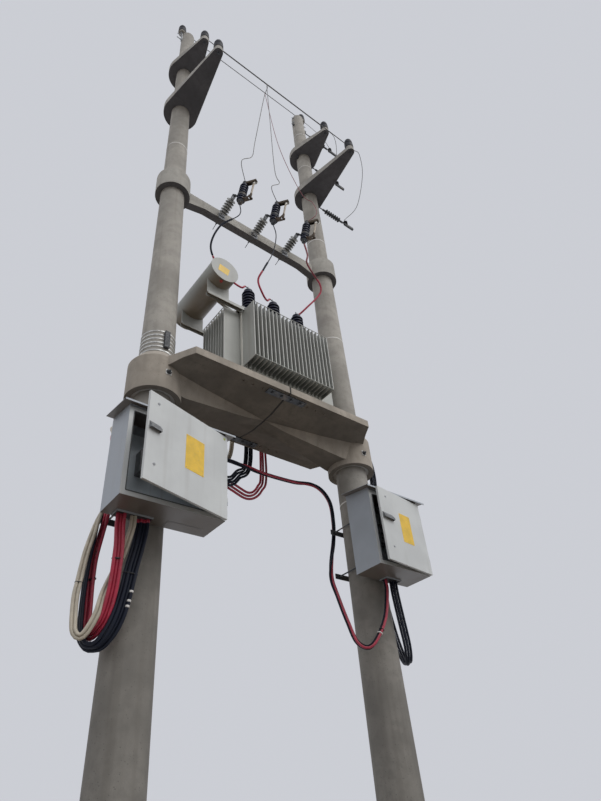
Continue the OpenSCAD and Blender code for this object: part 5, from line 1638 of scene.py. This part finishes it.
@dataclass
class CabinetTrim:
    """Opening flange, seal, foam whose black is also painted shade in the gland, floor cover and
    switchgear of one cabinet.
    """

    side: str
    gland: tuple[float, float]
    cover: Optional[tuple[float, float, float, float]] = None
    flange: float = 0.038
    floor_rise: float = 0.014
    foam_y: float = -0.2575
    foam_drop: float = 0.0075
    foam_depth: float = 0.083
    switch_height: float = 4.2725
    switch_pitch: float = 0.15
    switch_step: float = 0.056
    switch_width: float = 0.096
    switch_lift: float = 0.004
    rail_sink: float = 0.03
    rail_inset: float = 0.08
    rail_height: float = 3.990
    screw_inset: float = 0.014

    def build(self) -> None:
        """Build the flange round the opening and what closes the holes in the floor."""
        low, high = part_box(f"cabinet_{self.side}_body")
        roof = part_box(f"cabinet_{self.side}_roof")[0].z
        floor = low.z + self.floor_rise
        width, height = (size - 2 * self.flange for size in (high.x - low.x, roof - floor))
        rims = (("opening_flange", (DOOR_PAINT, "cabinet_paint"), 0.0004, 0.0022, 0.004,
                 (2 * self.flange - 0.001, 0.0)),
                ("door_seal", (GREY_RUBBER, "black_sheath"), 0.0025, 0.004, 0.006,
                 (0.008, -0.004)))
        for stem, look, out, thick, corner, grown in rims:
            outer, inner = (plate_outline(width + more, height + more, corner) for more in grown)
            place = Place.along(((low.x + high.x) / 2, low.y - out, (floor + roof) / 2), FRONT)
            rim = Shell().add_frame(outer, inner, thick, place)
            rim.piece(f"{stem}_{self.side}", *look)
        start, length = self.gland
        # The black foam closes the gland's hole; its black also stands in as painted shade inside the
        # slot.
        place = Place.along((start + length / 2, self.foam_y, floor - self.foam_drop), UP, BACK)
        foam = Shell().add_plate((length - 0.002, self.foam_depth, 0.004), FOAM, place)
        foam.piece(f"gland_foam_shade_{self.side}", *TIE)
        if self.cover is not None:
            self.floor_cover(floor)
        self.switchgear()

    def switchgear(self) -> None:
        """Build the three switches' covers and grips, and the screws of the terminal rail."""
        low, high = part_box(f"cabinet_{self.side}_panel")
        covers, grips, screws = Shell(), Shell(), Shell()

        def at(x: float, out: float, drop: float = 0.0) -> Place:
            """Return a frame in front of a switch, that far above its middle."""
            return Place.along((x, low.y - out, self.switch_height + drop), FRONT)

        for share in (-1, 0, 1):
            x = (low.x + high.x) / 2 + share * self.switch_pitch
            for row, tall in ((1, 0.044), (0, 0.056), (-1, 0.044)):
                covers.add_plate((self.switch_width, tall, 0.004), SWITCH_COVER,
                                 at(x, 0.0, row * self.switch_step))
            grips.add_plate(*MAIN_GRIP, at(x, self.switch_lift))
            for row in (1, -1):
                for aside in (-0.03, 0.0, 0.03):
                    grips.add_plate(*SIDE_GRIP,
                                    at(x + aside, self.switch_lift, row * self.switch_step))
        covers.piece(f"switch_covers_{self.side}", BREAKER_PLASTIC, "black_sheath")
        grips.piece(f"switch_grips_{self.side}", SWITCH_GRIP, "black_sheath")
        for x in np.linspace(low.x + self.rail_inset, high.x - self.rail_inset, 10):
            place = Place.along((x, low.y + self.rail_sink, self.rail_height), FRONT)
            screws.add_turned(*TERMINAL_SCREW, place)
        screws.piece(f"terminal_screws_{self.side}", BRIGHT_METAL, "galvanised_steel")

    def floor_cover(self, floor: float) -> None:
        """Build the plate that closes the second hole in the floor, with its screws.

        Args:
            floor: Height of the floor's underside.
        """
        left, right, near, far = self.cover
        middle = ((left + right) / 2, (near + far) / 2, floor)
        plate = Shell().add_plate((right - left, far - near, 0.008), FLOOR_PLATE,
                                  Place.along(middle, DOWN, BACK))
        for x, y in corners(*self.cover, self.screw_inset):
            plate.add_turned(*FLOOR_SCREW, Place.along((x, y, floor), DOWN))
        plate.piece(f"floor_cover_{self.side}", CABINET_PAINT, "cabinet_paint")


@dataclass
class PoleTrim:
    """White tapes round the poles, bolts at their tops and through the socket rings."""

    tapes: Pairs = ((0.0, 9.265), (POLE_GAP, 12.185), (POLE_GAP, 11.105), (POLE_GAP, 9.05),
                    (POLE_GAP, 7.02), (POLE_GAP, 4.71))
    ring_radius: float = 0.2448
    ring_bolts: Pairs = ((0.015, 5.272), (2.336, 5.229))
    ring_bottom: float = 5.09
    grout_middle: float = 5.122
    tape_size: tuple[float, float] = (0.014, 0.0016)
    grout_size: tuple[float, float] = (0.04, 0.0285)
    strap: float = 0.0083
    plate: float = 0.005
    strap_bolts: tuple[float, float] = (12.85, 12.7)

    def build(self) -> None:
        """Build the tapes, the strap bolts and the grout, plates and nuts of the rings."""
        tapes, bolts, grout, plates, nuts = Shell(), Hardware(), Shell(), Shell(), Hardware()
        for x, height in self.tapes:
            tapes.add_band(x, height, *self.tape_size, pole_radius(height) + 0.0004)
        tapes.piece("pole_tapes", *TAPE)
        for x, side in ((0.0, -1.0), (POLE_GAP, 1.0)):
            for height in self.strap_bolts:
                edge = pole_radius(height) + self.strap
                bolts.joint((x + side * edge, 0.0, height), (side, 0.0, 0.0), *HORN_BOLT)
                bolts.joint((x - side * (edge - 0.008), 0.0, height), (-side, 0.0, 0.0),
                            *STRAP_BOLT)
        bolts.piece("pole_bolts", *ZINC)
        for x in (0.0, POLE_GAP):
            grout.add_band(x, self.grout_middle, *self.grout_size, pole_radius(self.ring_bottom))
        grout.piece("ring_grout", CEMENT, "platform_concrete")
        for x, height in self.ring_bolts:
            plates.add_plate(*RING_PLATE, Place.along((x, -self.ring_radius, height), FRONT))
            nuts.joint((x, -self.ring_radius - self.plate, height), FRONT, *RING_BOLT)
        plates.piece("ring_plates", PLATE_STEEL, "galvanised_steel")
        nuts.piece("ring_nuts", *STEEL)


@dataclass
class BeamTrim:
    """Through-bolts behind the crossarm, under the bracket tips and on the deck's splices."""

    cutouts: CutoutFrame
    beam_back: float = 0.0475
    beam_height: float = 8.335
    tail: float = 0.1
    tips: Pairs = ((1.0, 10.28), (0.6, 11.48))
    deck_rise: float = 0.365
    splice_inset: float = 0.0375
    splice_shares: tuple[float, ...] = (0.125, 0.375, 0.625, 0.875)

    def build(self) -> None:
        """Build the nuts, washers and long tails."""
        bolts = Hardware()
        for number, x in enumerate(self.cutouts.arm_x):
            seat, nut, end = ((x, self.beam_back + out, self.beam_height)
                              for out in (0.0, 0.006, 0.02))
            bolts.add_plate(*BEAM_PLATE, Place.along(seat, BACK))
            bolts.joint(nut, BACK, *BEAM_BOLT)
            bolts.stud(end, -self.cutouts.extender(number).axes[2], 0.004, self.tail)
        for x in (0.0, POLE_GAP):
            for reach, height in self.tips:
                bolts.washer((x, -reach, height), DOWN, TIP_BOLT[0], THICK_WASHER)
                bolts.joint((x, -reach, height - THICK_WASHER), DOWN, *TIP_BOLT)
        low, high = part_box("splice_plates")
        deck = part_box("platform_left")[0].z + self.deck_rise
        for y in (low.y + self.splice_inset, high.y - self.splice_inset):
            for share in self.splice_shares:
                bolts.joint((low.x + share * (high.x - low.x), y, deck), UP, *SPLICE_BOLT)
        bolts.piece("through_bolts", *STEEL)


@dataclass
class InsulatorTrim:
    """Wire ties round the necks of the pin insulators, and nuts of the strain strings."""

    radius: float = 0.0574
    wire: float = 0.0017
    neck: float = 0.0965
    climb: float = 0.0005
    turns: int = 3
    feet: tuple[Point, ...] = ((0.0, -1.0, 10.3553), (POLE_GAP, -1.0, 10.3553),
                               (0.0, -0.6, 11.5553), (POLE_GAP, -0.6, 11.5553),
                               (-0.112, 0.0, 12.95), (POLE_GAP + 0.112, 0.0, 12.95))
    string_heights: tuple[float, ...] = (10.248, 11.448, 12.6)
    string_nut: float = 0.03
    riser: float = 0.6703
    shed_heights: tuple[float, ...] = (0.02, 0.046, 0.072)

    def build(self) -> None:
        """Wind a tie of three turns round each insulator, and set the strings' bolts and sheds."""
        ties, bolts, sheds = Shell(), Hardware(), Shell()
        turn = np.linspace(0.0, 2 * np.pi * self.turns, 97)
        radius = self.radius + self.wire
        for x, y, foot in self.feet:
            path = np.stack([x + radius * np.cos(turn), y + radius * np.sin(turn),
                             foot + self.neck + self.climb * turn], axis=-1)
            ties.add_grid(tube_grid(path, self.wire, 8))
        ties.piece("insulator_ties", TIE_WIRE, "bare_conductor")
        right, left = (1.0, 0.0, 0.0), (-1.0, 0.0, 0.0)
        for height in self.string_heights:
            edge = pole_radius(height)
            bolts.washer((POLE_GAP + edge, 0.0, height), right, self.string_nut, THICK_WASHER)
            bolts.nut((POLE_GAP + edge + THICK_WASHER, 0.0, height), right, self.string_nut)
            bolts.joint((POLE_GAP - edge, 0.0, height), left, *STRING_BOLT)
            for up in self.shed_heights:
                seat = (POLE_GAP + edge + self.riser, 0.0, height + up)
                sheds.add_turned(*SHED, Place.along(seat, UP))
        sheds.piece("riser_sheds", STRING_POLYMER, "grey_polymer")
        bolts.piece("string_bolts", *STEEL)


@dataclass
class TransformerTrim:
    """Cover bolts, conservator plug and patch, a gasket band whose black is also painted shadow, and
    corner rods.
    """

    pitch: float = 0.12
    inset: float = 0.014
    plug: Point = (0.468, -0.362, 6.664)
    patch: Point = (0.477, -0.4, 6.812)
    drum: float = 0.166
    plug_seat: float = 0.159
    rod_out: float = 0.0045
    rod_foot: float = 0.06

    def build(self) -> None:
        """Build the bolts round the cover's lip and the fittings of the conservator."""
        low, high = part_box("tank_cover")
        seats = [(x, y) for y in (low.y + self.inset, high.y - self.inset)
                 for x in np.arange(low.x + 0.05, high.x - 0.04, self.pitch)]
        seats += [(x, y) for x in (low.x + self.inset, high.x - self.inset)
                  for y in np.arange(low.y + 0.1, high.y - 0.08, self.pitch)]
        bolts = Hardware()
        for x, y in seats:
            bolts.joint((x, y, high.z), UP, *LIP_BOLT)
            bolts.joint((x, y, low.z), DOWN, *LIP_NUT)
        bolts.piece("cover_bolts", *ZINC)
        low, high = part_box("conservator")
        axis = np.array((low.x + self.drum, self.plug[1], high.z - self.drum))
        away = unit(np.array(self.plug) - axis)
        plug = Shell().add_turned(*PLUG, Place.along(axis + self.plug_seat * away, away))
        plug.piece("conservator_plug", RED_PLUG, "red_sheath")
        place = Place.along(self.patch, FRONT, (0.2, 0.0, 1.0))
        Shell().add_plate(*PATCH, place).piece("conservator_patch", *PLATE)
        self.seams()

    def seams(self) -> None:
        """Build the gasket under the cover, whose black is also painted shadow below the cover's edge,
        and the welded rods on the tank's corners.
        """
        low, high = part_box("tank")
        outer, inner = (plate_outline(high.x - low.x + more, high.y - low.y + more, 0.01)
                        for more in (0.036, -0.002))
        place = Place.along(((low.x + high.x) / 2, 0.0, high.z - 0.006), UP, BACK)
        # Painted shadow: the black band stands out from the tank below the cover's edge, partly a real
        # gasket.
        gasket = Shell().add_frame(outer, inner, 0.0065, place)
        gasket.piece("cover_gasket_shadow", *TIE)
        rods = Shell()
        for x in (low.x - self.rod_out, high.x + self.rod_out):
            for y in (low.y + 0.006, low.y + 0.024, high.y - 0.006, high.y - 0.024):
                rods.add_turned(*CORNER_ROD, Place.along((x, y, low.z + self.rod_foot), UP))
        rods.piece("corner_rods", ROD_PAINT, "tank_paint")


def main() -> None:
    """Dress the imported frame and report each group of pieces."""
    logging.basicConfig(level=logging.INFO, format="%(message)s")
    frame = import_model()
    Photographer().set_up()
    Cables().build()
    dresser = NodeDresser(frame["nodes"])
    dresser.dress()
    joints = {joint["name"]: joint for joint in frame["joints"]}
    doors = (("left", Body.LEFT_DOOR, (0.267, 0.457, 4.08, 4.37), ((0.737, 4.48), (0.737, 3.98)),
              (0.044, 4.53), (-0.31, 0.27), (0.07, 0.35, -0.31, -0.215)),
             ("right", Body.RIGHT_DOOR, (0.22, 0.385, 4.07, 4.36), ((0.555, 4.48), (0.555, 3.98)),
              None, (2.295, 0.19), None))
    for side, body, plate, bolts, dot, gland, cover in doors:
        joint = joints[f"{side}_door_hinge"]
        place = DoorPlace(tuple(joint["pos_m"][:2]), -math.radians(joint["range_deg"][0]), body)
        dresser.fittings(place)
        DoorTrim(side, place, plate, bolts, dot).build()
        CabinetTrim(side, gland, cover).build()
    PoleTrim().build()
    BeamTrim(CutoutFrame()).build()
    InsulatorTrim().build()
    TransformerTrim().build()


if __name__ == "__main__":
    main()
